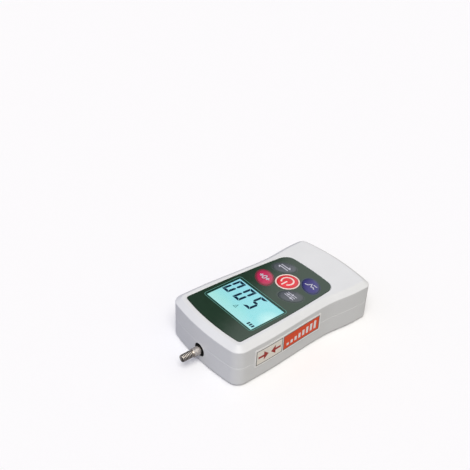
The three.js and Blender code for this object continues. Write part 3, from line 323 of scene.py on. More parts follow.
class LabelSettings(bpy.types.PropertyGroup):
    front: length("Front", -0.054, "Front edge of the label")
    tail: length("Tail", 0.0156, "Tail edge of the label")
    bottom: length("Bottom", 0.012, "Lower edge of the label")
    top: length("Top", 0.0283, "Upper edge of the label")
    split: length("Split", -0.0258, "Line between the two fields")
    border: length("Border", 0.0014, "Width of the white border")
    outline: length("Outline", 0.0006, "Width of the dark line round each field")
    gap: length("Gap", 0.0001, "Gap between the label and the wall")
    corner: length("Corner", 0.0008, "Corner radius of the label")
    film: length("Film", 0.00022, "Thickness of the label")
    layer: length("Layer", 0.00002, "From one printed layer to the next")
    arrow_gap: length("Arrow gap", 0.0012, "From the pale field's middle to an arrow's tip")
    arrow_length: length("Arrow length", 0.0100, "Length of an arrow")
    arrow_head: length("Arrow head", 0.0046, "Length of an arrow's head")
    arrow_half_head: length("Arrow half head", 0.0040, "Half the width of an arrow's head")
    arrow_root: length("Arrow root", 0.003, "From an arrow's tip to where its bar starts")
    arrow_bar: length("Arrow bar", 0.0019, "Width of an arrow's bar")
    steps: count("Steps", 8, "Steps in the bright field")
    step_inset: length("Step inset", 0.0036, "From the bright field's ends to the steps")
    step_width: length("Step width", 0.0024, "Width of a step")
    step_foot: length("Step foot", 0.0044, "From the label's lower edge to the steps' feet")
    step_low: length("Lowest step", 0.0022, "Height of the lowest step")
    step_rise: length("Step rise", 0.0055, "How much higher the last step is")
    paper: colour("Border colour", (1.0, 0.985, 0.96), "Colour of the border")
    pale: colour("Pale field", (1.0, 0.92, 0.83), "Colour of the front field")
    bright: colour("Bright field", (0.90, 0.078, 0.006), "Colour of the tail field")
    dark: colour("Outline colour", (0.075, 0.085, 0.075), "Colour of the thin outlines")
    mark: colour("Marks", (0.42, 0.030, 0.018), "Colour of the marks in the pale field")


class FastenerSettings(bpy.types.PropertyGroup):
    head_radius: length("Head radius", 0.0029, "Radius of a case screw's head")
    head_height: length("Head height", 0.002, "Height of a case screw's head")
    shank_radius: length("Shank radius", 0.0015, "Radius of a case screw's shank")
    recess_width: length("Recess width", 0.0008, "Width of the cross recess")
    recess_span: length("Recess span", 0.0034, "Span of the cross recess")
    recess_depth: length("Recess depth", 0.0011, "Depth of the cross recess")
    pocket_gap: length("Pocket gap", 0.0003, "Gap round a screw's head")
    insert_radius: length("Insert radius", 0.003, "Outer radius of a brass insert")
    insert_flange: length("Insert flange", 0.0044, "Radius of an insert's flange")
    insert_flange_thickness: length("Flange thickness", 0.0012, "Thickness of an insert's flange")
    insert_bore: length("Insert bore", 0.002, "Outer radius of the thread in an insert")
    insert_thread: length("Insert thread", 0.00038, "Depth of the thread in an insert")
    insert_pitch: length("Insert pitch", 0.0007, "Pitch of the thread in an insert")
    insert_gap: length("Insert gap", 0.00012, "Gap round a brass insert")
    steel: colour("Steel", (0.46, 0.455, 0.44), "Colour of the screws")
    brass: colour("Brass", (0.56, 0.38, 0.14), "Colour of the inserts")


class SocketSettings(bpy.types.PropertyGroup):
    sleeve: length("Sleeve radius", 0.0039, "Radius of the charging socket's sleeve")
    bore: length("Bore radius", 0.0028, "Radius of the charging socket's bore")
    bore_depth: length("Bore depth", 0.0085, "Depth of the charging socket's bore")
    pin: length("Pin radius", 0.001, "Radius of the charging socket's pin")
    pin_length: length("Pin length", 0.0065, "Length of the charging socket's pin")
    shoulder: length("Shoulder", 0.0022, "From the charging socket's mouth to its block")
    data_wall: length("Data wall", 0.0005, "Wall of the data socket's shell")
    data_corner: length("Data corner", 0.0009, "Corner radius of the data socket")
    tongue_width: length("Tongue width", 0.005, "Width of the data socket's tongue")
    tongue_height: length("Tongue height", 0.0009, "Height of the data socket's tongue")
    contact: length("Contact", 0.0004, "Width of a contact on the tongue")
    gap: length("Gap", 0.0002, "Gap round both sockets in the wall")
    edge: length("Edge", 0.0003, "Bevel of the charging socket's sleeve and bore")
    block_corner: length("Block corner", 0.0004, "Corner radius of the charging socket's block")
    tongue_corner: length("Tongue corner", 0.0002, "Corner radius of the data socket's tongue")
    contacts: count("Contacts", 5, "Contacts on the data socket's tongue")
    black: colour("Socket black", (0.022, 0.022, 0.024), "Colour of the charging socket")
    tongue_black: colour("Tongue black", (0.02, 0.02, 0.022), "Colour of the data socket's tongue")
    pin_colour: colour("Pin", (0.72, 0.69, 0.62), "Colour of the charging socket's pin")
    shell_colour: colour("Shell", (0.62, 0.62, 0.63), "Colour of the data socket's shell")
    contact_colour: colour("Contact colour", (0.80, 0.58, 0.24), "Colour of the contacts")


class InnerSettings(bpy.types.PropertyGroup):
    black: colour("Black plastic", (0.020, 0.020, 0.022), "Frame, clamp, processor and switches")
    white: colour("White plastic", (0.78, 0.77, 0.73), "Backlight and connector")
    cell_lead: colour("Cell lead", (0.72, 0.72, 0.70), "Insulation of the load cell's lead")
    battery_lead: colour("Battery lead", (0.55, 0.02, 0.02), "Insulation of the battery's lead")
    aluminium: colour("Load cell", (0.60, 0.61, 0.63), "Aluminium of the load cell")
    covers: colour("Gauge covers", (0.66, 0.67, 0.69), "Aluminium of the two covers")
    zinc: colour("Bracket", (0.50, 0.51, 0.53), "Zinc on the bracket")
    dark_steel: colour("Dark steel", (0.30, 0.29, 0.28), "Steel of the bolt and the lock nut")
    sleeve_deep: colour("Sleeve, deep", (0.022, 0.130, 0.075), "Darker green of the sleeves")
    sleeve_pale: colour("Sleeve, pale", (0.035, 0.180, 0.105), "Lighter green of the sleeves")
    sleeve_band: colour("Sleeve band", (0.62, 0.63, 0.60), "Band round the battery sleeves")
    band_half: length("Sleeve band, half", 0.006, "Half the width of the band on a sleeve")
    mask_deep: colour("Board, deep", (0.012, 0.085, 0.032), "Darker green of the board")
    mask_pale: colour("Board, pale", (0.018, 0.110, 0.042), "Lighter green of the board")
    mask_runs: colour("Board runs", (0.030, 0.190, 0.070), "Green over the copper runs")
    pads: colour("Pads", (0.62, 0.60, 0.56), "Tinned pads on the board")


class StageSettings(bpy.types.PropertyGroup):
    floor_half: length("Floor", 6.0, "Half the side of the floor")
    floor_drop: length("Floor drop", 0.00005, "How far the floor lies under the base")
    floor_colour: colour("Floor colour", (1.0, 1.0, 1.0), "Floor as the camera sees it")
    floor_bounce: colour("Floor bounce", (0.35, 0.35, 0.36), "Floor as the object is lit by it")
    backdrop: colour("Backdrop", (1.0, 1.0, 1.0), "What the camera and gloss see behind all")
    flag: colour("Dark side", (0.07, 0.07, 0.07), "What gloss sees on the studio's dark side")
    cool_sky: colour("Cool sky", (0.44, 0.455, 0.60), "Soft light from the front left")
    warm_sky: colour("Warm sky", (0.465, 0.435, 0.35), "Soft light from the right and the tail")
    sun_colour: colour("Lamp colour", (1.0, 0.985, 0.96), "Colour of the main lamp")
    sun_strength: strength("Lamp", 1.93, "Strength of the main lamp")
    sun_angle: angle("Lamp size", 38, "How large the main lamp looks")
    sun_azimuth: angle("Lamp azimuth", 50, "Turn of the main lamp from front to right")
    sun_elevation: angle("Lamp elevation", 60, "How high the main lamp stands")
    camera_x: length("Camera, across", 0.3283112, "Place of the camera")
    camera_y: length("Camera, along", -0.3234821, "Place of the camera")
    camera_z: length("Camera height", 0.3881948, "Place of the camera")
    camera_azimuth: angle("Camera azimuth", 49.5073, "Turn of the view from the gauge's length")
    camera_pitch: angle("Camera pitch", 33.4313, "How far the view looks down")
    camera_roll: angle("Camera roll", 2.4638, "How far the view leans")
    lens: focus("Lens", 56.0079, "Focal length of the camera")


# Colour sockets of a Mix node, which shares their names with its other kinds
MIX_FACTOR, MIX_FIRST, MIX_SECOND = 0, 6, 7
MIX_RESULT = 2


# Shader expressions
def arithmetic(operation, reflected=False):
    """A method that adds a Math node to a wire and another value"""

    def apply(wire, other):
        operands = (other, wire) if reflected else (wire, other)
        return wire.math(operation, *operands)

    return apply


class Wire:
    """A shader socket in a Python expression: every operator adds its Math node."""

    def __init__(self, tree, socket):
        self.tree = tree
        self.socket = socket

    def math(self, operation, *operands):
        values = dict(enumerate(operands or (self,)))
        return self.tree.add("ShaderNodeMath", {"operation": operation}, values)

    __add__ = arithmetic("ADD")
    __radd__ = arithmetic("ADD", True)
    __sub__ = arithmetic("SUBTRACT")
    __rsub__ = arithmetic("SUBTRACT", True)
    __mul__ = arithmetic("MULTIPLY")
    __rmul__ = arithmetic("MULTIPLY", True)
    __truediv__ = arithmetic("DIVIDE")
    __rtruediv__ = arithmetic("DIVIDE", True)
    larger = arithmetic("MAXIMUM")

    def __abs__(self):
        return self.math("ABSOLUTE")

    def root(self):
        return self.math("SQRT")

    def within(self, start, end):
        """0 below start, 1 above end, and a straight rise between them"""
        values = {"Value": self, "From Min": start, "From Max": end}
        return self.tree.add("ShaderNodeMapRange", {"clamp": True}, values)


def opaque(tint):
    return (*tint, 1.0)


class Tree:
    """The shader tree of a material or a world."""

    def __init__(self, owner):
        owner.use_nodes = True
        self.owner = owner
        self.nodes = owner.node_tree.nodes
        self.links = owner.node_tree.links
        self.nodes.clear()

    def add(self, kind, settings=(), inputs=(), output=0):
        """Adds a node, sets it up, fills its sockets and gives one of its outputs"""
        node = self.nodes.new(kind)
        for name, value in dict(settings).items():
            setattr(node, name, value)
        for key, value in dict(inputs).items():
            if isinstance(value, Wire):
                self.links.new(value.socket, node.inputs[key])
            else:
                node.inputs[key].default_value = value
        return Wire(self, node.outputs[output]) if node.outputs else node

    def place(self, axis=None):
        """The place on the object, in metres, or one of its coordinates"""
        where = self.add("ShaderNodeTexCoord", output="Object")
        if axis is None:
            return where
        return self.add("ShaderNodeSeparateXYZ", inputs={0: where}, output=axis)

    def noise(self, size, detail=2.0, stretch=(1.0, 1.0, 1.0)):
        """Noise with marks about size metres across, drawn out by stretch along each axis"""
        shares = tuple(1.0 / (size * part) for part in stretch)
        values = {0: self.place(), 1: shares}
        where = self.add("ShaderNodeVectorMath", {"operation": "MULTIPLY"}, values)
        values = {"Vector": where, "Scale": 1.0, "Detail": detail}
        return self.add("ShaderNodeTexNoise", inputs=values)

    def cells(self, size):
        """The distance from the middle of cells about size metres across"""
        values = {"Vector": self.place(), "Scale": 1.0 / size}
        return self.add("ShaderNodeTexVoronoi", inputs=values, output="Distance")

    def attribute(self, name):
        return self.add("ShaderNodeAttribute", {"attribute_name": name}, output="Fac")

    def mix(self, factor, first, second):
        """Goes from the first colour to the second as the factor goes from 0 to 1"""
        ends = {MIX_FIRST: first, MIX_SECOND: second}
        values = {key: end if isinstance(end, Wire) else opaque(end) for key, end in ends.items()}
        inputs = {MIX_FACTOR: factor, **values}
        return self.add("ShaderNodeMix", {"data_type": "RGBA"}, inputs, MIX_RESULT)

    def bump(self, height, distance):
        values = {"Height": height, "Distance": distance, "Strength": 1.0}
        return self.add("ShaderNodeBump", inputs=values, output="Normal")

    def surface(self, tone, roughness, others=(), height=None, depth=0.0):
        """Ends the tree in a Principled shader, bumped if asked, and gives the material back"""
        sockets = {"Base Color": tone, "Roughness": roughness, **dict(others)}
        if height is not None:
            sockets["Normal"] = self.bump(height, depth)
        shader = self.add("ShaderNodeBsdfPrincipled", inputs=sockets)
        self.add("ShaderNodeOutputMaterial", inputs={"Surface": shader})
        return self.owner


def material_tree(name):
    return Tree(bpy.data.materials.new(name))


def scaled(tint, factor):
    return tuple(min(1.0, part * factor) for part in tint)


def blend(first, second, part):
    return tuple(a + (b - a) * part for a, b in zip(first, second))


# Finishes
def moulded_plastic(name, tint, roughness=0.42, grain=0.00035, gloss=0.42):
    """Moulded plastic: a fine spark-eroded grain, slow shifts of tone and a few duller patches"""
    tree = material_tree(name)
    slow = tree.noise(0.03, 3.0)
    fine = tree.noise(grain, 3.0)
    handled = tree.noise(0.0075, 4.0).within(0.52, 0.75)
    tone = tree.mix(slow.within(0.35, 0.65), scaled(tint, 0.972), scaled(tint, 1.018))
    tone = tree.mix(fine.within(0.3, 0.7) * 0.35, tone, scaled(tint, 0.965))
    dullness = roughness + (fine - 0.5) * 0.10 - handled * 0.05
    return tree.surface(tone, dullness, {"Specular IOR Level": gloss}, fine, 0.000012)


def soft_key(name, tint, edge_tint):
    """A coloured key: deeper towards its rim in painted shade, where the colour thins out over the
    film's green
    """
    tree = material_tree(name)
    reach = tree.attribute("reach")
    cloud = tree.noise(0.004, 3.0)
    fine = tree.noise(0.0002, 2.0)
    speckle = tree.noise(0.0007, 2.0)
    # Painted shade and the print's feathered edge: towards the rim the colour turns to the darker
    # rim tint
    rim = (reach + (cloud - 0.5) * 0.14 + (speckle - 0.5) * 0.16).within(0.78, 1.02)
    body = tree.mix(cloud.within(0.35, 0.7), scaled(tint, 0.86), scaled(tint, 1.12))
    tone = tree.mix(rim, body, edge_tint)
    dullness = 0.26 + (fine - 0.5) * 0.08
    return tree.surface(tone, dullness, {"Specular IOR Level": 0.65}, fine, 0.000004)


def printed_ink(name, tint, roughness=0.4, gloss=0.5):
    """A layer of printed ink, a little uneven"""
    tree = material_tree(name)
    coat = tree.noise(0.0008, 3.0)
    tone = tree.mix(coat.within(0.3, 0.75), scaled(tint, 0.9), scaled(tint, 1.06))
    dullness = roughness + (coat - 0.5) * 0.1
    return tree.surface(tone, dullness, {"Specular IOR Level": gloss}, coat, 0.000004)


def overlay_film(settings, keys):
    """The green film: satin over a fine grain, lighter to the right in painted sheen, with the
    keys' colours running out over it
    """
    tree = material_tree("overlay_film")
    tint = settings.colour
    # Painted sheen: the film's colour grows lighter towards the right and the tail
    painted_sheen = (tree.place("X") + tree.place("Y") * 0.4).within(-0.030, 0.036)
    cloud = tree.noise(0.010, 4.0)
    fine = tree.noise(0.00018, 2.0)
    speckle = tree.noise(0.0007, 2.0)
    smear = tree.noise(0.006, 4.0, (3.0, 1.0, 1.0)).within(0.45, 0.8)
    tone = tree.mix(painted_sheen, scaled(tint, 0.95), scaled(tint, 1.25))
    tone = tree.mix(cloud.within(0.35, 0.7) * 0.35, tone, scaled(tint, 1.45))
    for name, (centre, half_long, half_short, turn) in key_places().items():
        if name != "power":
            across = tree.place("X") - centre.x
            along = tree.place("Y") - centre.y
            far = (across * math.cos(turn) + along * math.sin(turn)) / half_long
            wide = (along * math.cos(turn) - across * math.sin(turn)) / half_short
            reach = (far * far + wide * wide).root() + (speckle - 0.5) * 0.25
            halo = 1.0 - reach.within(1.0, 1.0 + settings.halo / half_short)
            tone = tree.mix(halo * 0.55, tone, getattr(keys, KEY_TINTS[name]))
    dullness = 0.06 + (fine - 0.5) * 0.03 + smear * 0.05
    return tree.surface(tone, dullness, {"Specular IOR Level": 0.55}, fine, 0.000003)


def display_pane(settings):
    """The clear window with a dark printed frame round the picture"""
    tree = material_tree("display_pane")
    across = abs(tree.place("X") - settings.view_x) - settings.view_width / 2
    along = abs(tree.place("Y") - settings.view_y) - settings.view_length / 2
    frame_mask = across.larger(along).within(0.00005, 0.0002)
    wipe = tree.noise(0.010, 4.0, (2.5, 1.0, 1.0))
    tone = tree.mix(wipe, scaled(settings.frame, 0.8), scaled(settings.frame, 1.3))
    return tree.surface(tone, 0.05 + wipe * 0.05, {"Alpha": 0.05 + frame_mask * 0.94})


def lit_picture(settings):
    """The lit picture: cyan, bluer at the rear left and brightest by the lamps at its right"""
    tree = material_tree("lit_picture")
    glow = settings.glow
    cloud = tree.noise(0.012, 3.0)
    half_width, half_length = 0.026, 0.016
    across = tree.place("X").within(-half_width, half_width)
    along = (tree.place("Y") - settings.view_y).within(-half_length, half_length)
    green = (1.0 - across) * (1.0 - along) + (cloud - 0.5) * 0.8
    cells = tree.noise(0.0003, 1.0)
    beside = tree.place("X") - settings.lamp_x
    below = tree.place("Y") - settings.lamp_y
    away = (beside * beside + below * below).root()
    lamp = 1.0 - away.within(0.002, 0.012)
    tone = tree.mix(green.within(0.2, 0.9), glow, settings.front_glow)
    tone = tree.mix((1.0 - along).within(0.7, 1.0) * 0.7, tone, settings.edge_glow)
    tone = tree.mix(((1.0 - across) * along).within(0.1, 0.8), tone, settings.rear_glow)
    tone = tree.mix(lamp * 0.8, tone, settings.lamp_glow)
    unlit = tree.mix(cells, (0.05, 0.12, 0.12), (0.07, 0.15, 0.15))
    light = {"Emission Color": tone, "Emission Strength": 1.0}
    return tree.surface(unlit, 0.10 + cells * 0.06, light)


def turned_metal(name, tint, roughness, axis=1, root_shade_tint=None):
    """Metal from a lathe: rings round its axis, faint stains, and painted shade in the thread roots
    if asked
    """
    tree = material_tree(name)
    rings = tree.noise(0.00012, 3.0, [1.0 if k == axis else 40.0 for k in range(3)])
    stain = tree.noise(0.004, 4.0)
    tone = tree.mix(stain.within(0.35, 0.75), scaled(tint, 1.10), scaled(tint, 0.80))
    tone = tree.mix(rings.within(0.3, 0.7) * 0.3, tone, scaled(tint, 1.3))
    # Painted shade: darkens the thread's roots between the crests
    if root_shade_tint is not None:
        root = 1.0 - tree.attribute("crest").within(0.3, 0.9)
        tone = tree.mix(root, tone, root_shade_tint)
    dullness = roughness + (rings - 0.5) * 0.16 + stain * 0.08
    return tree.surface(tone, dullness, {"Metallic": 1.0}, rings, 0.000006)


def milled_metal(name, tint, roughness=0.33, along=(1.0, 30.0, 1.0), size=0.00025):
    """Milled or rolled metal: straight marks one way, with faint stains"""
    tree = material_tree(name)
    marks = tree.noise(size, 3.0, along)
    stain = tree.noise(0.008, 4.0)
    tone = tree.mix(stain.within(0.3, 0.75), scaled(tint, 1.06), scaled(tint, 0.84))
    tone = tree.mix(marks.within(0.35, 0.7) * 0.25, tone, scaled(tint, 1.2))
    dullness = roughness + (marks - 0.5) * 0.18 + stain * 0.06
    return tree.surface(tone, dullness, {"Metallic": 1.0}, marks, 0.000008)


def seal_rubber(tint, dust_tint):
    """Dull black rubber with some dust on it"""
    tree = material_tree("seal_rubber")
    dust = tree.noise(0.0015, 4.0)
    fine = tree.noise(0.00015, 2.0)
    tone = tree.mix(dust.within(0.5, 0.8), tint, dust_tint)
    return tree.surface(tone, 0.72 + (fine - 0.5) * 0.2, (), fine, 0.00001)


def solder_mask(settings):
    """Green board: mask over copper runs, with bare pads"""
    tree = material_tree("solder_mask")
    grid = {"Vector": tree.place(), "Scale": 190.0, "Mortar Size": 0.03}
    runs = tree.add("ShaderNodeTexBrick", {"offset": 0.5}, grid, "Fac")
    pads = 1.0 - tree.cells(0.0022).within(0.10, 0.16)
    fine = tree.noise(0.0004, 3.0)
    tone = tree.mix(fine, settings.mask_deep, settings.mask_pale)
    tone = tree.mix(runs * 0.6, tone, settings.mask_runs)
    tone = tree.mix(pads, tone, settings.pads)
    return tree.surface(tone, 0.36 + fine * 0.12, {"Metallic": pads * 0.9}, runs + pads, 0.00002)


def battery_sleeve(settings):
    """Green shrink sleeve with one pale band"""
    tree = material_tree("battery_sleeve")
    beyond_band = (abs(tree.place("X")) - settings.band_half).within(0.0, 0.0003)
    crease_marks = tree.noise(0.0009, 3.0, (8.0, 1.0, 1.0))
    tone = tree.mix(crease_marks, settings.sleeve_deep, settings.sleeve_pale)
    tone = tree.mix(beyond_band, settings.sleeve_band, tone)
    return tree.surface(tone, 0.28 + crease_marks * 0.15, (), crease_marks, 0.00001)


# Meshes
def new_object(name, data):
    piece = bpy.data.objects.new(name, data)
    bpy.context.scene.collection.objects.link(piece)
    return piece


def new_piece(name, vertices, faces):
    mesh = bpy.data.meshes.new(name)
    mesh.from_pydata(vertices, [], faces)
    work = bmesh.new()
    work.from_mesh(mesh)
    bmesh.ops.recalc_face_normals(work, faces=work.faces)
    work.to_mesh(mesh)
    work.free()
    return new_object(name, mesh)


def joined(first, second, count):
    """Faces between two rings of equal counts, given by their first points"""
    faces = []
    for k in range(count):
        beside = (k + 1) % count
        faces.append((first + k, first + beside, second + beside, second + k))
    return faces


def loft(name, rings):
    """A closed skin through rings of equal counts, capped at both ends"""
    count = len(rings[0])
    last = (len(rings) - 1) * count
    starts = range(0, last, count)
    faces = [face for start in starts for face in joined(start, start + count, count)]
    faces += [range(count)[::-1], range(last, last + count)]
    return new_piece(name, [point for ring in rings for point in ring], faces)


def circle(radius, height, sides):
    turns = [2 * math.pi * k / sides for k in range(sides)]
    return [Vector((radius * math.cos(turn), radius * math.sin(turn), height)) for turn in turns]


def turned(name, profile, place, sides=ROUND_SIDES):
    """A solid turned round the local Z axis from pairs of radius and height, moved by a matrix"""
    piece = loft(name, [circle(radius, height, sides) for radius, height in profile])
    piece.data.transform(place)
    return piece


def turned_ring(name, profile, place, sides=ROUND_SIDES):
    """A ring turned round the local Z axis: the last pair of the profile joins the first"""
    total = len(profile) * sides
    vertices = [point for radius, height in profile for point in circle(radius, height, sides)]
    starts = range(0, total, sides)
    faces = [face for start in starts for face in joined(start, (start + sides) % total, sides)]
    piece = new_piece(name, vertices, faces)
    piece.data.transform(place)
    return piece


def standing(x, y, z=0.0):
    return Matrix.Translation((x, y, z))


def lying(x, y, z):
    """Turns the local Z axis from the point given towards the tail"""
    return Matrix.Translation((x, y, z)) @ Matrix.Rotation(-math.pi / 2, 4, "X")


def settle(piece):
    """Applies a piece's modifiers"""
    graph = bpy.context.evaluated_depsgraph_get()
    finished = bpy.data.meshes.new_from_object(piece.evaluated_get(graph))
    finished.name = piece.name
    piece.modifiers.clear()
    piece.data = finished


def combine(piece, operation, tools):
    """Cuts from, joins to or crosses with a piece, and uses the tools up"""
    for tool in tools:
        step = piece.modifiers.new(tool.name, "BOOLEAN")
        step.operation = operation
        step.solver = "MANIFOLD"
        step.object = tool
    settle(piece)
    for tool in tools:
        bpy.data.objects.remove(tool)
    if not piece.data.polygons:
        raise RuntimeError(f"nothing is left of {piece.name}")
    return piece


def cut(piece, *tools):
    return combine(piece, "DIFFERENCE", tools)


def join(piece, *tools):
    return combine(piece, "UNION", tools)


def bevel(piece, width):
    step = piece.modifiers.new("bevel", "BEVEL")
    step.width = width
    step.segments = 2
    step.limit_method = "ANGLE"
    step.angle_limit = CREASE
    settle(piece)
    return piece


def smooth(piece, crease=CREASE):
    """Soft shading with sharp creases, led by the larger faces"""
    mesh = piece.data
    mesh.shade_smooth()
    mesh.set_sharp_from_angle(angle=crease)
    step = piece.modifiers.new("weighted_normal", "WEIGHTED_NORMAL")
    step.keep_sharp = True
    step.weight = 60
    settle(piece)
    return piece


def finish(piece, material, body, slot, *nodes, crease=CREASE):
    """Shades a piece, gives it its finish and lets it ride on its body in the nodes' stead"""
    smooth(piece, crease)
    piece.data.materials.clear()
    piece.data.materials.append(material)
    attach(piece, body)
    if nodes:
        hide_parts(*nodes)
    return piece


def mark_points(piece, name, values):
    """Keeps a value for each point, for the piece's material to read"""
    layer = piece.data.attributes.new(name, "FLOAT", "POINT")
    layer.data.foreach_set("value", values)


def coat(material, *nodes):
    """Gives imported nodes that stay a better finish"""
    for node in nodes:
        piece = frame["nodes"][node]
        if not piece.material_slots:
            piece.data.materials.append(material)
        for place in piece.material_slots:
            place.material = material


# Outlines seen from above
End = namedtuple("End", "y radius corner")
Mark = namedtuple("Mark", "point normal")


def side_mark(half_width_at, y):
    rise = half_width_at(y + SLOPE_STEP) - half_width_at(y - SLOPE_STEP)
    return Mark(Vector((half_width_at(y), y)), Vector((2 * SLOPE_STEP, -rise)).normalized())


def touching_corner(half_width_at, end, direction, middle_y):
    """Where the corner touches the side, and the centre of its arc and of the end's arc"""
    arc_centre = Vector((0.0, end.y - direction * end.radius))
    outer, inner = end.y, middle_y
    for _ in range(HALVINGS):
        touch = side_mark(half_width_at, (outer + inner) / 2)
        centre = touch.point - end.corner * touch.normal
        if (centre - arc_centre).length > end.radius - end.corner:
            outer = touch.point.y
        else:
            inner = touch.point.y
    return touch, centre, arc_centre


def bearing(vector):
    return math.atan2(vector.y, vector.x)


def arc(centre, radius, start, end, steps):
    marks = []
    for k in range(steps + 1):
        turn = start + (end - start) * k / steps
        normal = Vector((math.cos(turn), math.sin(turn)))
        marks.append(Mark(centre + radius * normal, normal))
    return marks


def outline(half_width_at, front, tail):
    """A closed line with its normals: a front arc, shaped sides, a tail arc and four corners"""
    middle_y = (front.y + tail.y) / 2
    nose, nose_centre, front_centre = touching_corner(half_width_at, front, -1, middle_y)
    rear, rear_centre, tail_centre = touching_corner(half_width_at, tail, 1, middle_y)
    nose_turn = bearing(nose_centre - front_centre)
    rear_turn = bearing(rear_centre - tail_centre)
    side = []
    for k in range(1, SIDE_STEPS):
        y = nose.point.y + (rear.point.y - nose.point.y) * k / SIDE_STEPS
        side.append(side_mark(half_width_at, y))
    right = [
        *arc(front_centre, front.radius, -math.pi / 2, nose_turn, ARC_STEPS),
        *arc(nose_centre, front.corner, nose_turn, bearing(nose.normal), CORNER_STEPS)[1:],
        *side,
        *arc(rear_centre, tail.corner, bearing(rear.normal), rear_turn, CORNER_STEPS),
        *arc(tail_centre, tail.radius, rear_turn, math.pi / 2, ARC_STEPS)[1:],
    ]
    flip = Vector((-1.0, 1.0))
    left = [Mark(mark.point * flip, mark.normal * flip) for mark in reversed(right[1:-1])]
    return right + left


def level(marks, inset, z):
    """The outline drawn inwards, or outwards by a negative inset, at one height"""
    points = [mark.point - inset * mark.normal for mark in marks]
    return [Vector((point.x, point.y, z)) for point in points]


def smoothstep(value, start, end):
    part = min(1.0, max(0.0, (value - start) / (end - start)))
    return part * part * (3 - 2 * part)


def body_half_width(y):
    shape = bpy.context.scene.gauge_housing
    narrowing = smoothstep(y, shape.waist_start, shape.waist)
    flare = smoothstep(y, shape.waist, shape.flare_end)
    waist = shape.front_half_width + (shape.waist_half_width - shape.front_half_width) * narrowing
    return waist + (shape.tail_half_width - shape.waist_half_width) * flare


def body_outline():
    shape = bpy.context.scene.gauge_housing
    front = End(FRONT_Y, shape.front_arc, shape.front_corner)
    tail = End(TAIL_Y, shape.tail_arc, shape.tail_corner)
    return outline(body_half_width, front, tail)


def film_outline():
    film = bpy.context.scene.gauge_overlay
    front = End(film.front, film.front_radius, film.front_corner)
    tail = End(film.tail, film.tail_radius, film.tail_corner)

    def half_width(y):
        return film.half_width - (y - film.widest) ** 2 / (2 * film.side_radius)

    return outline(half_width, front, tail)


def quarter(steps):
    """A quarter turn as pairs of shares: how far in, and how far down, of a rounded edge"""
    turns = [math.pi / 2 * k / steps for k in range(steps + 1)]
    return [(1 - math.cos(turn), 1 - math.sin(turn)) for turn in turns]


def bevelled_edge(shape):
    """The top edge as pairs of inset and drop, from the wall over crease and bevel to the top"""
    slope = shape.bevel_slope
    shoulder = []
    for k in range(EDGE_STEPS + 1):
        turn = slope * (1 - k / EDGE_STEPS)
        inset = shape.bevel_inset - shape.shoulder * math.sin(turn)
        shoulder.append((inset, shape.shoulder * (1 - math.cos(turn))))
    crease_inset = shape.crease * (1 - math.sin(slope))
    run = shoulder[0][0] - crease_inset
    wall_drop = shoulder[0][1] + run * math.tan(slope) + shape.crease * math.cos(slope)
    crease = []
    for k in range(EDGE_STEPS + 1):
        turn = math.pi / 2 + (slope - math.pi / 2) * k / EDGE_STEPS
        drop = wall_drop - shape.crease * math.cos(turn)
        crease.append((shape.crease * (1 - math.sin(turn)), drop))
    return crease + shoulder


def rounded_rectangle(centre_x, centre_y, width, height, corner, steps=FRAME_STEPS):
    """Marks round a rectangle with round corners, counter-clockwise"""
    marks = []
    for turn, sign_x, sign_y in ((0, 1, 1), (1, -1, 1), (2, -1, -1), (3, 1, -1)):
        across = sign_x * (width / 2 - corner)
        along = sign_y * (height / 2 - corner)
        centre = Vector((centre_x + across, centre_y + along))
        marks += arc(centre, corner, turn * math.pi / 2, (turn + 1) * math.pi / 2, steps)
    return marks


def ellipse(centre, half_long, half_short, turn, sides=ROUND_SIDES):
    """Marks round an ellipse that is turned about its centre"""
    marks = []
    for k in range(sides):
        phase = 2 * math.pi * k / sides
        point = Vector((half_long * math.cos(phase), half_short * math.sin(phase)))
        normal = Vector((math.cos(phase) / half_long, math.sin(phase) / half_short)).normalized()
        point.rotate(Matrix.Rotation(turn, 2))
        normal.rotate(Matrix.Rotation(turn, 2))
        marks.append(Mark(centre + point, normal))
    return marks


def prism(name, marks, bottom, top, inset=0.0):
    return loft(name, [level(marks, inset, bottom), level(marks, inset, top)])


def lipped_cutter(name, marks, inset, floor, surface, radius):
    """A cutter with upright walls that flares out at the surface, and so leaves a rounded lip"""
    rings = [level(marks, inset, floor)]
    for inward, down in quarter(LIP_STEPS):
        rings.append(level(marks, inset - radius * inward, surface - radius * down))
    rings.append(level(marks, inset - radius, surface + OVERRUN))
    return loft(name, rings)


def lipped_bore(name, radius, place, depth, lip):
    """The same for a round hole, from the surface at local height 0 down to a depth"""
    profile = [(radius, -depth)]
    for inward, down in quarter(LIP_STEPS):
        profile.append((radius + lip * inward, -lip * down))
    profile.append((radius + lip, OVERRUN))
    return turned(name, profile, place)


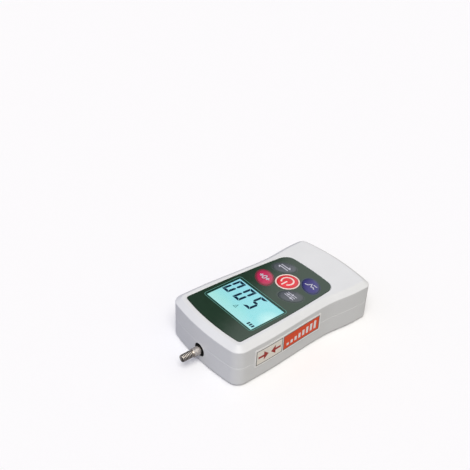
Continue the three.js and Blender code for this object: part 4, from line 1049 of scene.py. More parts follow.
class Relief:
    """Thin raised strokes, plates and bands that follow a surface"""

    def __init__(self, place, sink, lift, step):
        self.place = place
        self.sink = sink
        self.lift = lift
        self.step = step
        self.vertices = []
        self.faces = []

    def spaced(self, points, closed):
        """The same line with points no further apart than the step"""
        ends = points[1:] + points[:1] if closed else points[1:]
        line = []
        for start, end in zip(points, ends):
            parts = max(1, math.ceil((end - start).length / self.step))
            line += [start.lerp(end, k / parts) for k in range(parts)]
        return line if closed else [*line, points[-1]]

    def strip(self, left, right, closed=False):
        """A closed thin solid between two lines of equal counts"""
        first = len(self.vertices)
        rows = len(left)
        corners = ((0, -self.sink), (1, -self.sink), (1, self.lift), (0, self.lift))
        for pair in zip(left, right):
            self.vertices += [self.place(*pair[side], height) for side, height in corners]
        for row in range(rows if closed else rows - 1):
            a = first + 4 * row
            b = first + 4 * ((row + 1) % rows)
            self.faces += joined(b, a, 4)
        if not closed:
            last = first + 4 * (rows - 1)
            self.faces += [range(first, first + 4), range(last, last + 4)[::-1]]

    def stroke(self, points, width, closed=False):
        """A stroke of even width along a line"""
        line = self.spaced([Vector(point) for point in points], closed)
        count = len(line)
        left, right = [], []
        for k, point in enumerate(line):
            before = line[k - 1] if closed or k else point
            after = line[(k + 1) % count] if closed or k < count - 1 else point
            arriving = (point - before).normalized()
            leaving = (after - point).normalized()
            along = (arriving + leaving).normalized()
            across = Vector((-along.y, along.x))
            lead = leaving if leaving.length else arriving
            reach = width / 2 / max(0.5, across.dot(Vector((-lead.y, lead.x))))
            left.append(point + reach * across)
            right.append(point - reach * across)
        self.strip(left, right, closed)

    def plate(self, corners):
        """A flat filled shape"""
        first = len(self.vertices)
        count = len(corners)
        for height in (-self.sink, self.lift):
            self.vertices += [self.place(u, v, height) for u, v in corners]
        second = first + count
        self.faces += joined(first, second, count)
        self.faces += [range(first, second)[::-1], range(second, second + count)]

    def band(self, start, end, bottom, top, corner=0.0):
        """A long field, with round corners if asked"""
        head = [(start, 0.0)]
        if corner:
            head = [(start + corner * u, corner * v) for u, v in quarter(BAND_STEPS)]
        straight = end - start - 2 * corner
        parts = max(2, math.ceil(straight / (self.step * 2)))
        inner = [(start + corner + straight * k / parts, 0.0) for k in range(1, parts)]
        tail = [(start + end - u, inset) for u, inset in reversed(head)]
        columns = [*head, *inner, *tail]
        left = [Vector((u, top - inset)) for u, inset in columns]
        right = [Vector((u, bottom + inset)) for u, inset in columns]
        self.strip(left, right)

    def piece(self, name):
        return new_piece(name, self.vertices, self.faces)


# Housing
def copy_of(node):
    """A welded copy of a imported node, for its inner ribs and bosses"""
    mesh = frame["nodes"][node].data.copy()
    work = bmesh.new()
    work.from_mesh(mesh)
    bmesh.ops.remove_doubles(work, verts=work.verts, dist=1e-7)
    work.to_mesh(mesh)
    work.free()
    mesh.materials.clear()
    return new_object(f"{node}_copy", mesh)


def finish_shell(node, outside, core, cutters):
    """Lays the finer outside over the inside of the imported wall, and opens the shell"""
    shape = bpy.context.scene.gauge_housing
    inner_core = core("inner_core", shape.skin * OVERLAP)
    inside = combine(copy_of(node), "INTERSECT", [inner_core])
    piece = join(cut(outside, core("core", shape.skin)), inside)
    plastic = moulded_plastic(f"{node}_plastic", shape.colour, gloss=0.5)
    finish(cut(piece, *cutters), plastic, "housing", "housing", node)


def key_places():
    """Centre, half axes and turn of each key"""
    shape = bpy.context.scene.gauge_keys
    places = {"power": (shape.power_radius, shape.power_radius, 0.0)}
    for name, sign in (("unit", 1), ("peak", -1), ("zero", -1), ("set", 1)):
        places[name] = (shape.half_long, shape.half_short, sign * shape.turn)
    return {name: (middle(f"{name}_key").to_2d(), *rest) for name, rest in places.items()}


class GAUGE_OT_front_shell(bpy.types.Operator):
    """Models the front shell with its bevelled edge, rounded lip and openings"""

    bl_idname = "gauge.front_shell"
    bl_label = "Front shell"
    bl_options = {"REGISTER", "UNDO"}

    def execute(self, context):
        scene = context.scene
        shape = scene.gauge_housing
        marks = body_outline()
        edge = bevelled_edge(shape)
        rings = [level(marks, shape.groove, PARTING_Z), level(marks, 0.0, PARTING_Z + shape.groove)]
        rings += [level(marks, inset, TOP_Z - drop) for inset, drop in edge]
        outside = loft("front_shell_skin", rings)
        deep = shape.skin
        ceiling = FILM_FLOOR_Z - deep / 2
        wall_top = TOP_Z - edge[0][1] - deep / 3

        def core(name, inset):
            walls = [level(marks, inset, PARTING_Z - OVERRUN), level(marks, inset, wall_top)]
            under = level(marks, inset + shape.bevel_inset - deep, ceiling + deep - inset)
            return loft(name, [*walls, under])

        finish_shell("front_shell", outside, core, self.cutters(scene))
        return {"FINISHED"}

    def cutters(self, scene):
        """Cutters for the film's recess, the display and the keys"""
        shape, display = scene.gauge_housing, scene.gauge_display
        film = film_outline()
        cutters = [lipped_cutter("recess", film, -shape.seat_gap, FILM_FLOOR_Z, TOP_Z, shape.lip)]
        width, depth = display.opening_width, display.opening_length
        opening = rounded_rectangle(0.0, WINDOW_Y, width, depth, display.corner)
        through = FILM_FLOOR_Z - 2 * (TOP_Z - FILM_FLOOR_Z) - OVERRUN
        cutters.append(prism("display_opening", opening, through, TOP_Z))
        for name, (centre, half_long, half_short, turn) in key_places().items():
            ring = ellipse(centre, half_long, half_short, turn)
            cutters.append(prism(f"{name}_opening", ring, through, TOP_Z, -shape.key_gap))
        return cutters


class GAUGE_OT_rear_shell(bpy.types.Operator):
    """Models the rear shell with its rolled base, shaft hole, screw pockets and socket openings"""

    bl_idname = "gauge.rear_shell"
    bl_label = "Rear shell"
    bl_options = {"REGISTER", "UNDO"}

    def execute(self, context):
        scene = context.scene
        shape = scene.gauge_housing
        marks = body_outline()
        roll, groove = shape.base_roll, shape.groove
        edge = reversed(quarter(ROLL_STEPS))
        rings = [level(marks, roll * inward, BOTTOM_Z + roll * down) for inward, down in edge]
        rings += [level(marks, 0.0, PARTING_Z - groove), level(marks, groove, PARTING_Z)]
        outside = loft("rear_shell_skin", rings)

        def core(name, inset):
            floor = BOTTOM_Z + inset
            walls = [level(marks, inset, floor + roll / 2), level(marks, inset, TOP_Z)]
            return loft(name, [level(marks, inset + roll / 2, floor), *walls])

        finish_shell("rear_shell", outside, core, self.cutters(scene))
        return {"FINISHED"}

    def cutters(self, scene):
        """Cutters for the shaft's hole, the screws, the inserts and both sockets"""
        fastener, socket = scene.gauge_fasteners, scene.gauge_sockets
        lip = scene.gauge_housing.hole_lip
        through = scene.gauge_housing.skin + OVERRUN
        shaft_hole = scene.gauge_shaft.hole_radius
        down = Matrix.Rotation(math.pi, 4, "X")
        front_face = lying(0.0, FRONT_Y, SHAFT_Z) @ down
        cutters = [lipped_bore("shaft_hole", shaft_hole, front_face, HOLE_DEPTH, lip)]
        pocket = fastener.head_radius + fastener.pocket_gap
        bore = fastener.insert_radius + fastener.insert_gap
        for k in range(1, 5):
            deep = low(f"case_screw_{k}").z + fastener.head_height
            holes = (("case_screw", pocket, deep), ("stand_insert", bore, through))
            for node, radius, depth in holes:
                centre = middle(f"{node}_{k}")
                base = standing(centre.x, centre.y, BOTTOM_Z) @ down
                cutters.append(lipped_bore(f"{node}_{k}_hole", radius, base, depth, lip / 2))
        charge = middle("charge_socket")
        tail_face = lying(charge.x, high("charge_socket").y + OVERRUN / 2, charge.z)
        sleeve = socket.sleeve + socket.gap
        cutters.append(lipped_bore("charge_hole", sleeve, tail_face, HOLE_DEPTH, lip / 2))
        start, end = TAIL_Y - HOLE_DEPTH, TAIL_Y + OVERRUN
        cutters.append(data_slot("data_hole", scene, -socket.gap, start, end))
        return cutters


def data_slot(name, scene, inset, start, end):
    """The data socket's rounded outline as a solid along the gauge"""
    centre = middle("data_socket")
    width, _, height = spans("data_socket")
    marks = rounded_rectangle(0.0, 0.0, width, height, scene.gauge_sockets.data_corner)
    return bar_along(name, marks, inset, centre, start, end)


def bar_along(name, marks, inset, centre, start, end):
    """A bar along the gauge, from one place of its length to another"""
    piece = loft(name, [level(marks, inset, 0.0), level(marks, inset, end - start)])
    piece.data.transform(lying(centre.x, start, centre.z))
    return piece


# Signs of the keys, in units of their reach: the width of each line as a share of the stroke, and
# its points. The round key has an open ring and a bar. The others have two arrows that pass each
# other, a curve with one peak and a bar that holds it, an oval between two arrows that point at it,
# and three sliders. Only the oval is a closed line.
ORIGIN = Vector((0.0, 0.0))
RING_GAP = math.radians(36)
RING = arc(ORIGIN, 1.0, RING_GAP - math.pi / 2, 1.5 * math.pi - RING_GAP, SIGN_STEPS)
OVAL = [mark.point for mark in ellipse(ORIGIN, 0.28, 0.44, 0.0, OVAL_SIDES)]
PEAK = [(-1.0, -0.336), (-0.45, -0.21), (-0.12, 0.42), (0.25, -0.21), (0.55, -0.042), (1.0, -0.336)]
SIGNS = {
    "power": ((1.4, [mark.point for mark in RING]), (1.4, [(0.0, -1.32), (0.0, -0.08)])),
    "unit": (
        (1.0, [(-1.0, 0.24), (1.0, 0.24)]),
        (1.0, [(0.6, 0.58), (1.06, 0.22)]),
        (1.0, [(1.0, -0.24), (-1.0, -0.24)]),
        (1.0, [(-0.6, -0.58), (-1.06, -0.22)]),
    ),
    "peak": ((1.0, PEAK), (1.0, [(0.2, 0.46), (0.96, 0.46)])),
    "zero": (
        (1.0, [(-0.52, 0.0), (-1.08, 0.0)]),
        (1.0, [(-0.82, 0.3), (-0.52, 0.0), (-0.82, -0.3)]),
        (1.0, [(0.52, 0.0), (1.08, 0.0)]),
        (1.0, [(0.82, 0.3), (0.52, 0.0), (0.82, -0.3)]),
        (1.0, OVAL),
    ),
    "set": (
        (0.7, [(-1.0, -0.38), (1.0, -0.38)]),
        (2.0, [(0.26, -0.38), (0.54, -0.38)]),
        (0.7, [(-1.0, 0.0), (1.0, 0.0)]),
        (2.0, [(-0.59, 0.0), (-0.31, 0.0)]),
        (0.7, [(-1.0, 0.38), (1.0, 0.38)]),
        (2.0, [(-0.04, 0.38), (0.24, 0.38)]),
    ),
}


# Face
class GAUGE_OT_overlay(bpy.types.Operator):
    """Models the green film with its openings, and the thin line round the display"""

    bl_idname = "gauge.overlay"
    bl_label = "Overlay"
    bl_options = {"REGISTER", "UNDO"}

    def execute(self, context):
        scene = context.scene
        film = scene.gauge_overlay
        display = scene.gauge_display
        gap = film.key_gap
        below, above = FILM_FLOOR_Z - OVERRUN, FILM_TOP_Z + OVERRUN
        width, depth, _ = spans("display_window")
        window = rounded_rectangle(0.0, WINDOW_Y, width + 2 * gap, depth + 2 * gap, display.corner)
        ring_radius = spans("power_ring")[0] / 2
        ring = ellipse(middle("power_ring").to_2d(), ring_radius, ring_radius, 0.0)
        cutters = [
            prism("window_opening", window, below, above),
            prism("ring_opening", ring, below, above, -gap),
        ]
        for name, (centre, half_long, half_short, turn) in key_places().items():
            if name != "power":
                petal = ellipse(centre, half_long, half_short, turn)
                cutters.append(prism(f"{name}_opening", petal, below, above, -gap))
        piece = prism("front_overlay_film", film_outline(), FILM_FLOOR_Z, FILM_TOP_Z)
        bevel(cut(piece, *cutters), film.edge)
        finish(piece, overlay_film(film, scene.gauge_keys), "housing", "overlay", "front_overlay")
        self.build_line(film, display)
        return {"FINISHED"}

    def build_line(self, film, display):
        span, along = film.line_span, film.line_length
        corner = display.corner * 2
        marks = rounded_rectangle(0.0, display.view_y, span, along, corner, SMALL_STEPS)

        def on_film(u, v, height):
            return Vector((u, v, FILM_TOP_Z + height))

        relief = Relief(on_film, LINE_SINK, LINE_LIFT, FLAT_SPACING)
        relief.stroke([mark.point for mark in marks], film.line_width, True)
        ink = printed_ink("line_ink", film.line_colour)
        finish(relief.piece("display_line"), ink, "housing", "overlay")


class GAUGE_OT_display(bpy.types.Operator):
    """Models the window, lights the picture and sets the digits and marks on it"""

    bl_idname = "gauge.display"
    bl_label = "Display"
    bl_options = {"REGISTER", "UNDO"}

    # Segments of the digits 0 to 9, named from the top clockwise, with g in the middle
    segments = "abcdef bc abdeg abcdg bcfg acdfg acdefg abc abcdefg abcdfg".split()

    def execute(self, context):
        scene = context.scene
        display = scene.gauge_display
        width, depth, _ = spans("display_window")
        marks = rounded_rectangle(0.0, WINDOW_Y, width, depth, display.corner)
        bottom, top = low("display_window").z, high("display_window").z
        pane = prism("display_window_pane", marks, bottom, top)
        bevel(pane, scene.gauge_overlay.edge * 1.5)
        finish(pane, display_pane(display), "housing", "window", "display_window")
        coat(lit_picture(display), "lcd_glass")
        self.build_ink(display)
        return {"FINISHED"}

    def segment_corners(self, name, display):
        """Corners of one segment of an upright digit"""
        wide, tall = display.digit_width, display.digit_height
        thick, gap = display.segment, display.segment_gap
        half = tall / 2
        if name in "ad":
            corners = [(gap, tall), (wide - gap, tall), (wide - gap - thick, tall - thick)]
            corners.append((gap + thick, tall - thick))
        elif name == "g":
            corners = [(gap + thick / 2, half), (gap + thick, half + thick / 2)]
            corners += [(wide - gap - thick, half + thick / 2), (wide - gap - thick / 2, half)]
            corners += [(wide - gap - thick, half - thick / 2), (gap + thick, half - thick / 2)]
        else:
            corners = [(wide, tall - gap), (wide - thick, tall - gap - thick)]
            corners += [(wide - thick, half + gap + thick / 2), (wide - thick / 2, half + gap)]
            corners.append((wide, half + gap + thick / 2))
        if name in "cde":
            corners = [(x, tall - y) for x, y in corners]
        if name in "ef":
            corners = [(wide - x, y) for x, y in corners]
        return corners

    def leaning(self, display, foot):
        """Ink on the glass that leans to the right over the line of its feet"""

        def on_glass(u, v, height):
            lean = display.slant * (v - foot) / display.digit_height
            return Vector((u + lean, v, GLASS_TOP_Z + height))

        return Relief(on_glass, PRINT_SINK, PRINT_LIFT, FLAT_SPACING)

    def build_ink(self, display):
        digits = self.leaning(display, display.digit_y)
        for place, digit in enumerate(display.reading):
            foot = display.digit_x + place * display.digit_pitch
            for name in self.segments[int(digit)]:
                corners = self.segment_corners(name, display)
                digits.plate([(foot + x, display.digit_y + y) for x, y in corners])
        ink = printed_ink("display_ink", display.ink, gloss=0.15)
        finish(digits.piece("display_digits"), ink, "housing", "display")
        bars = self.leaning(display, display.bars_y)
        foot, head = display.bars_y, display.bars_y + display.bar_height
        for k in range(display.bars):
            left = display.bars_x + k * display.bar_pitch
            right = left + display.bar_width
            bars.plate([(left, foot), (right, foot), (right, head), (left, head)])
        finish(bars.piece("display_battery_bars"), ink, "housing", "display")
        sign = self.leaning(display, display.digit_y)
        left, foot = display.sign_x, display.sign_y
        top = (left + display.sign_top, foot + display.sign_height)
        triangle = [(left, foot), top, (left + display.sign_width, foot)]
        sign.stroke(triangle, display.sign_stroke, True)
        faint = printed_ink("display_faint_ink", display.faint_ink, gloss=0.15)
        finish(sign.piece("display_push_sign"), faint, "housing", "display")


class GAUGE_OT_keys(bpy.types.Operator):
    """Models the round key and the four petal keys with their raised signs"""

    bl_idname = "gauge.keys"
    bl_label = "Keys"
    bl_options = {"REGISTER", "UNDO"}

    def execute(self, context):
        scene = context.scene
        keys = scene.gauge_keys
        film = scene.gauge_overlay.colour
        ink = printed_ink("sign_ink", keys.sign_colour)
        cream = printed_ink("power_sign_ink", keys.cream)
        rim = FILM_TOP_Z + keys.proud
        for name, place in key_places().items():
            key = f"{name}_key"
            tint = getattr(keys, KEY_TINTS[name])
            # The rim tint is painted shade; on the petal keys it is also the print's feathered edge
            # over the film's green
            edge, slot, sign = blend(film, tint, 0.35), f"{KEY_TINTS[name]}_key", ink
            if name == "power":
                edge, slot, sign = scaled(tint, 0.72), "power_red", cream
            top = high(key).z - keys.sign_height

            def dome(reach, top=top):
                fullness = max(0.0, 1 - min(1.0, reach) ** DOME_FLATNESS) ** DOME_SHOULDER
                return rim + (top - rim) * fullness

            cap = self.cap(key, keys, dome, place)
            finish(cap, soft_key(f"{key}_plastic", tint, edge), key, slot, key)
            finish(self.sign(name, keys, dome, place), sign, key, "cream_trim")
        return {"FINISHED"}

    def cap(self, key, keys, dome, place):
        """A key from its stem up to its domed top, with how near the rim each point is"""
        centre, half_long, half_short, turn = place
        marks = ellipse(centre, half_long, half_short, turn)
        stem = ellipse(centre, keys.stem, keys.stem, turn)
        flange_top = FILM_FLOOR_Z - keys.skirt + keys.flange_thickness / 2
        flange_bottom = flange_top - keys.flange_thickness
        rings = [level(stem, 0.0, low(key).z), level(stem, 0.0, flange_bottom)]
        rings += [level(marks, -keys.flange, flange_bottom), level(marks, -keys.flange, flange_top)]
        rings += [level(marks, 0.0, flange_top), level(marks, 0.0, dome(1.0))]
        reaches = [1.0] * len(rings)
        for k in range(1, DOME_STEPS):
            reach = math.cos(math.pi / 2 * k / DOME_STEPS)
            points = [centre + (mark.point - centre) * reach for mark in marks]
            rings.append([Vector((point.x, point.y, dome(reach))) for point in points])
            reaches.append(reach)
        piece = loft(f"{key}_cap", rings)
        mark_points(piece, "reach", [reach for reach in reaches for _ in marks])
        return piece

    def sign(self, name, keys, dome, place):
        """The sign of a key, raised over its dome"""
        centre, half_long, half_short, turn = place

        def on_key(u, v, height):
            local = Vector((u, v))
            local.rotate(Matrix.Rotation(-turn, 2))
            reach = Vector((local.x / half_long, local.y / half_short)).length
            return Vector((centre.x + u, centre.y + v, dome(reach) + height))

        relief = Relief(on_key, keys.sign_sink, keys.sign_height, KEY_SPACING)
        for width, points in SIGNS[name]:
            line = [(u * keys.sign_reach, v * keys.sign_reach) for u, v in points]
            relief.stroke(line, keys.sign_stroke * width, points is OVAL)
        return relief.piece(f"{name}_key_sign")


class GAUGE_OT_power_ring(bpy.types.Operator):
    """Turns the rounded cream ring round the power key"""

    bl_idname = "gauge.power_ring"
    bl_label = "Power ring"
    bl_options = {"REGISTER", "UNDO"}

    def execute(self, context):
        scene = context.scene
        keys = scene.gauge_keys
        centre = middle("power_ring")
        outer = spans("power_ring")[0] / 2
        inner = keys.power_radius + scene.gauge_overlay.key_gap
        half = (outer - inner) / 2
        bottom, top = low("power_ring").z, high("power_ring").z
        profile = [(inner, bottom), (outer, bottom), (outer, top - half / 2)]
        for k in range(1, TRIM_STEPS):
            turn = math.pi * k / TRIM_STEPS
            across = inner + half * (1 + math.cos(turn))
            profile.append((across, top - half / 2 * (1 - math.sin(turn))))
        profile.append((inner, top - half / 2))
        piece = turned_ring("power_ring_trim", profile, standing(centre.x, centre.y))
        cream = printed_ink("ring_plastic", keys.cream, 0.36)
        finish(piece, cream, "housing", "cream_trim", "power_ring")
        return {"FINISHED"}


# Measuring shaft
class GAUGE_OT_shaft(bpy.types.Operator):
    """Turns the measuring shaft with its thread, collar and neck, and the seal behind its hole"""

    bl_idname = "gauge.shaft"
    bl_label = "Measuring shaft"
    bl_options = {"REGISTER", "UNDO"}

    def execute(self, context):
        shaft = context.scene.gauge_shaft
        edge = shaft.chamfer
        thread_end = shaft.thread_length
        collar_start = thread_end + shaft.relief
        collar_end = collar_start + shaft.collar
        neck_end = collar_end + shaft.neck
        shoulder = shaft.shoulder - TIP_Y
        rear = high("measuring_shaft").y - TIP_Y
        root = shaft.thread_radius - shaft.thread_depth
        thread = self.thread(shaft, root)
        collar, neck, body = shaft.collar_radius, shaft.neck_radius, shaft.body_radius
        profile = [(root - edge, thread_end - shaft.pitch / 2), (root, thread_end)]
        profile += [(root, collar_start), (collar - edge, collar_start)]
        profile += [(collar, collar_start + edge), (collar, collar_end - edge)]
        profile += [(collar - edge, collar_end), (neck, collar_end), (neck, neck_end)]
        profile += [(body - edge, neck_end), (body, neck_end + edge), (body, shoulder)]
        profile += [(shaft.thread_radius, shoulder), (shaft.thread_radius, rear)]
        plain = turned("shaft_body", profile, Matrix.Identity(4))
        mark_points(plain, "crest", [1.0] * len(plain.data.vertices))
        piece = join(thread, plain)
        piece.data.transform(lying(0.0, TIP_Y, SHAFT_Z))
        steel = turned_metal("shaft_steel", shaft.colour, 0.2, root_shade_tint=shaft.root_shade_colour)
        finish(piece, steel, "shaft", "shaft_steel", "measuring_shaft", crease=THREAD_CREASE)
        self.seal(shaft)
        return {"FINISHED"}

    def thread(self, shaft, root):
        """A rod with a helical V thread, flat on its crests, bevelled in front, run out behind"""
        rows = round(shaft.thread_length / shaft.pitch * THREAD_ROWS)
        rings, crests = [], []
        for row in range(rows + 1):
            height = shaft.thread_length * row / rows
            widest = shaft.thread_radius - shaft.point + height
            run_out = smoothstep(shaft.thread_length - height, 0.0, shaft.pitch)
            ring = []
            for k in range(ROUND_SIDES):
                phase = (height / shaft.pitch - k / ROUND_SIDES) % 1.0
                crest = min(1.0, THREAD_RISE * (1 - abs(2 * phase - 1)))
                radius = min(root + shaft.thread_depth * crest * run_out, widest)
                turn = 2 * math.pi * k / ROUND_SIDES
                ring.append(Vector((radius * math.cos(turn), radius * math.sin(turn), height)))
                crests.append(crest)
            rings.append(ring)
        piece = loft("measuring_shaft_turned", rings)
        mark_points(piece, "crest", crests)
        return piece

    def seal(self, shaft):
        """The seal behind the hole, with a black lining in the hole that darkens its wall as shade
        would
        """
        start = low("dust_ring").y
        width, thick, _ = spans("dust_ring")
        inner = shaft.body_radius + shaft.chamfer
        lip = thick / 3
        bushing = shaft.bushing
        # The lining reaches to the hole's mouth as a dark sheet that stands in for shade
        mouth = FRONT_Y - start + bushing
        shade_bushing_radius = shaft.hole_radius - bushing / 10
        profile = [(inner + lip, 0.0), (shade_bushing_radius - bushing, 0.0)]
        profile += [(shade_bushing_radius - bushing, mouth + bushing / 2), (shade_bushing_radius - bushing / 2, mouth)]
        profile += [(shade_bushing_radius, mouth), (shade_bushing_radius, 0.0), (width / 2, 0.0), (width / 2, thick)]
        profile += [(inner + lip, thick), (inner, thick - lip), (inner, lip)]
        piece = turned_ring("dust_ring_seal", profile, lying(0.0, start, SHAFT_Z))
        rubber = seal_rubber(shaft.seal_colour, shaft.dust_colour)
        finish(piece, rubber, "housing", "seal_rubber", "dust_ring")


# Label
class GAUGE_OT_label(bpy.types.Operator):
    """Lays the plain two-tone label on the right side, with two arrows and rising steps"""

    bl_idname = "gauge.label"
    bl_label = "Side label"
    bl_options = {"REGISTER", "UNDO"}

    def execute(self, context):
        label = context.scene.gauge_label

        def on_side(u, v, height):
            mark = side_mark(body_half_width, u)
            point = mark.point + (label.gap + height) * mark.normal
            return Vector((point.x, point.y, v))

        def relief_on(number):
            lift = label.film + number * label.layer
            return Relief(on_side, -lift / 2, lift, LABEL_SPACING)

        def printed(relief, name, tint, roughness=0.4):
            ink = printed_ink(f"{name}_ink", tint, roughness)
            finish(relief.piece(name), ink, "housing", "label")

        base = Relief(on_side, 0.0, label.film, LABEL_SPACING)
        base.band(label.front, label.tail, label.bottom, label.top, label.corner)
        paper = printed_ink("label_paper", label.paper, 0.34)
        finish(base.piece("side_label_film"), paper, "housing", "label", "side_label")

        edge, line = label.border, label.outline
        bottom, top = label.bottom + edge, label.top - edge
        pale = (label.front + edge, label.split - edge / 3)
        bright = (label.split + edge / 3, label.tail - edge)
        outlines = relief_on(1)
        for start, end in (pale, bright):
            outlines.band(start, end, bottom, top)
        printed(outlines, "label_outlines", label.dark)
        for name, (start, end) in {"pale": pale, "bright": bright}.items():
            field = relief_on(2)
            field.band(start + line, end - line, bottom + line, top - line)
            printed(field, f"label_{name}_field", getattr(label, name), 0.36)
        printed(self.arrows(label, relief_on(3), *pale), "label_arrows", label.mark)
        printed(self.steps(label, relief_on(3), *bright), "label_steps", label.paper)
        return {"FINISHED"}

    def arrows(self, label, relief, start, end):
        """Two arrows that point at each other"""
        centre_y = (start + end) / 2
        centre_z = (label.bottom + label.top) / 2
        for side in (-1, 1):
            tip = centre_y + side * label.arrow_gap
            root = tip + side * label.arrow_root
            rear = tip + side * label.arrow_length
            relief.stroke([(root, centre_z), (rear, centre_z)], label.arrow_bar)
            barb = tip + side * label.arrow_head
            upper, lower = centre_z + label.arrow_half_head, centre_z - label.arrow_half_head
            relief.plate([(tip, centre_z), (barb, upper), (barb, lower)])
        return relief

    def steps(self, label, relief, start, end):
        """Steps that rise towards the tail"""
        foot = label.bottom + label.step_foot
        first, last = start + label.step_inset, end - label.step_inset - label.step_width
        for k in range(label.steps):
            share = k / max(1, label.steps - 1)
            y = first + (last - first) * share
            head = foot + label.step_low + label.step_rise * share
            relief.band(y, y + label.step_width, foot, head)
        return relief


# Sockets and fasteners
class GAUGE_OT_sockets(bpy.types.Operator):
    """Models the charging socket and the data socket in the tail wall"""

    bl_idname = "gauge.sockets"
    bl_label = "Sockets"
    bl_options = {"REGISTER", "UNDO"}

    def execute(self, context):
        scene = context.scene
        self.charging(scene.gauge_sockets)
        self.data(scene, scene.gauge_sockets)
        return {"FINISHED"}

    def charging(self, socket):
        """A block in the wall with a round sleeve, a bore and a pin"""
        centre = middle("charge_socket")
        width = spans("charge_socket")[0]
        back, mouth = low("charge_socket").y, high("charge_socket").y
        front = mouth - socket.shoulder
        marks = rounded_rectangle(
            centre.x, (back + front) / 2, width, front - back, socket.block_corner, SMALL_STEPS
        )
        bottom, top = low("charge_socket").z, high("charge_socket").z
        piece = prism("charge_socket_body", marks, bottom, top)
        at_mouth = lying(centre.x, mouth, centre.z)
        edge, sleeve, bore = socket.edge, socket.sleeve, socket.bore
        depth = socket.shoulder + OVERRUN
        profile = [(sleeve, -depth), (sleeve, -edge), (sleeve - edge, 0.0)]
        join(piece, turned("sleeve", profile, at_mouth))
        profile = [(bore, -socket.bore_depth), (bore, -edge), (bore + edge, 0.0)]
        cut(piece, turned("bore", [*profile, (bore + edge, OVERRUN)], at_mouth))
        black = moulded_plastic("socket_plastic", socket.black, 0.45)
        finish(piece, black, "housing", "black_plastic", "charge_socket")
        tip = socket.pin_length - socket.bore_depth
        root = (socket.pin, -socket.bore_depth - edge)
        profile = [root, (socket.pin, tip - socket.pin / 2), (socket.pin / 2, tip)]
        pin = turned("charge_socket_pin", profile, at_mouth, SMALL_SIDES)
        bright = turned_metal("pin_metal", socket.pin_colour, 0.2)
        finish(pin, bright, "housing", "socket_metal")

    def data(self, scene, socket):
        """A flat shell round a tongue with contacts"""
        centre = middle("data_socket")
        back, mouth = low("data_socket").y, high("data_socket").y
        wall, contact = socket.data_wall, socket.contact
        piece = data_slot("data_socket_shell", scene, 0.0, back, mouth)
        inner = data_slot("inner", scene, wall, back + 2 * wall, mouth + OVERRUN)
        bevel(cut(piece, inner), socket.edge / 3)
        shell = socket.shell_colour
        bright = milled_metal("socket_shell_metal", shell, 0.22, (1.0, 20.0, 1.0), 0.0002)
        finish(piece, bright, "housing", "socket_metal", "data_socket")
        width, height = socket.tongue_width, socket.tongue_height
        marks = rounded_rectangle(0.0, 0.0, width, height, socket.tongue_corner, SMALL_STEPS)
        start, end = back + wall, mouth - 2 * wall
        tongue = bar_along("data_socket_tongue", marks, 0.0, centre, start, end)
        black = moulded_plastic("tongue_plastic", socket.tongue_black, 0.4)
        finish(tongue, black, "housing", "black_plastic")

        def on_tongue(u, v, lift):
            return Vector((u, v, centre.z + height / 2 + lift))

        contacts = Relief(on_tongue, PLATE_SINK, PLATE_LIFT, FLAT_SPACING)
        for k in range(socket.contacts):
            x = centre.x + (k - (socket.contacts - 1) / 2) * 2 * contact
            contacts.stroke([(x, start + OVERRUN), (x, end - contact)], contact)
        gold = milled_metal("contact_metal", socket.contact_colour, 0.25)
        finish(contacts.piece("data_socket_contacts"), gold, "housing", "socket_metal")


class GAUGE_OT_fasteners(bpy.types.Operator):
    """Models the four case screws with their cross recess and the four threaded inserts"""

    bl_idname = "gauge.fasteners"
    bl_label = "Screws and inserts"
    bl_options = {"REGISTER", "UNDO"}

    def execute(self, context):
        fastener = context.scene.gauge_fasteners
        steel = turned_metal("screw_steel", fastener.steel, 0.3, 2)
        brass = turned_metal("insert_brass", fastener.brass, 0.26, 2)
        for k in range(1, 5):
            self.screw(f"case_screw_{k}", fastener, steel)
            self.insert(f"stand_insert_{k}", fastener, brass)
        return {"FINISHED"}

    def screw(self, node, fastener, steel):
        """A screw with a low domed head and a cross recess"""
        centre = middle(node)
        place = standing(centre.x, centre.y)
        bottom, end = low(node).z, high(node).z
        seat = bottom + fastener.head_height
        head, shank = fastener.head_radius, fastener.shank_radius
        profile = []
        for step in range(HEAD_STEPS + 1):
            turn = math.pi / 2 + (HEAD_RIM - math.pi / 2) * step / HEAD_STEPS
            rise = (1 - math.sin(turn)) / (1 - math.sin(HEAD_RIM))
            radius = max(head * math.cos(turn) / math.cos(HEAD_RIM), head / 40)
            profile.append((radius, bottom + fastener.head_height * HEAD_DOME * rise))
        profile += [(head, seat), (shank, seat), (shank, end - shank), (shank / 3, end)]
        piece = turned(f"{node}_turned", profile, place, SMALL_SIDES)
        span, wide = fastener.recess_span, fastener.recess_width
        marks = rounded_rectangle(0.0, 0.0, span, wide, wide / 4, SMALL_STEPS)
        arms = []
        for turn in (RECESS_TURN, RECESS_TURN + math.pi / 2):
            rings = [level(marks, 0.0, bottom - OVERRUN), level(marks, 0.0, bottom)]
            arm = loft("arm", [*rings, level(marks, wide / 4, bottom + fastener.recess_depth)])
            arm.data.transform(place @ Matrix.Rotation(turn, 4, "Z"))
            arms.append(arm)
        cut(piece, *arms)
        finish(piece, steel, "housing", "screw_steel", node)

    def insert(self, node, fastener, brass):
        """A brass insert with a flange inside the wall and a thread in its bore"""
        centre = middle(node)
        bottom, top = low(node).z, high(node).z
        outer, flange = fastener.insert_radius, fastener.insert_flange
        under_flange = top - fastener.insert_flange_thickness
        bore, deep, pitch = fastener.insert_bore, fastener.insert_thread, fastener.insert_pitch
        profile = [(bore, bottom), (outer - deep / 2, bottom), (outer, bottom + deep / 2)]
        profile += [(outer, under_flange), (flange, under_flange), (flange, top), (bore, top)]
        for turn in range(round((top - bottom) / pitch) - 1):
            z = top - (turn + 0.75) * pitch
            profile += [(bore - deep, z), (bore, z - pitch / 2)]
        at_centre = standing(centre.x, centre.y)
        piece = turned_ring(f"{node}_turned", profile, at_centre, SMALL_SIDES)
        finish(piece, brass, "housing", "insert_brass", node)


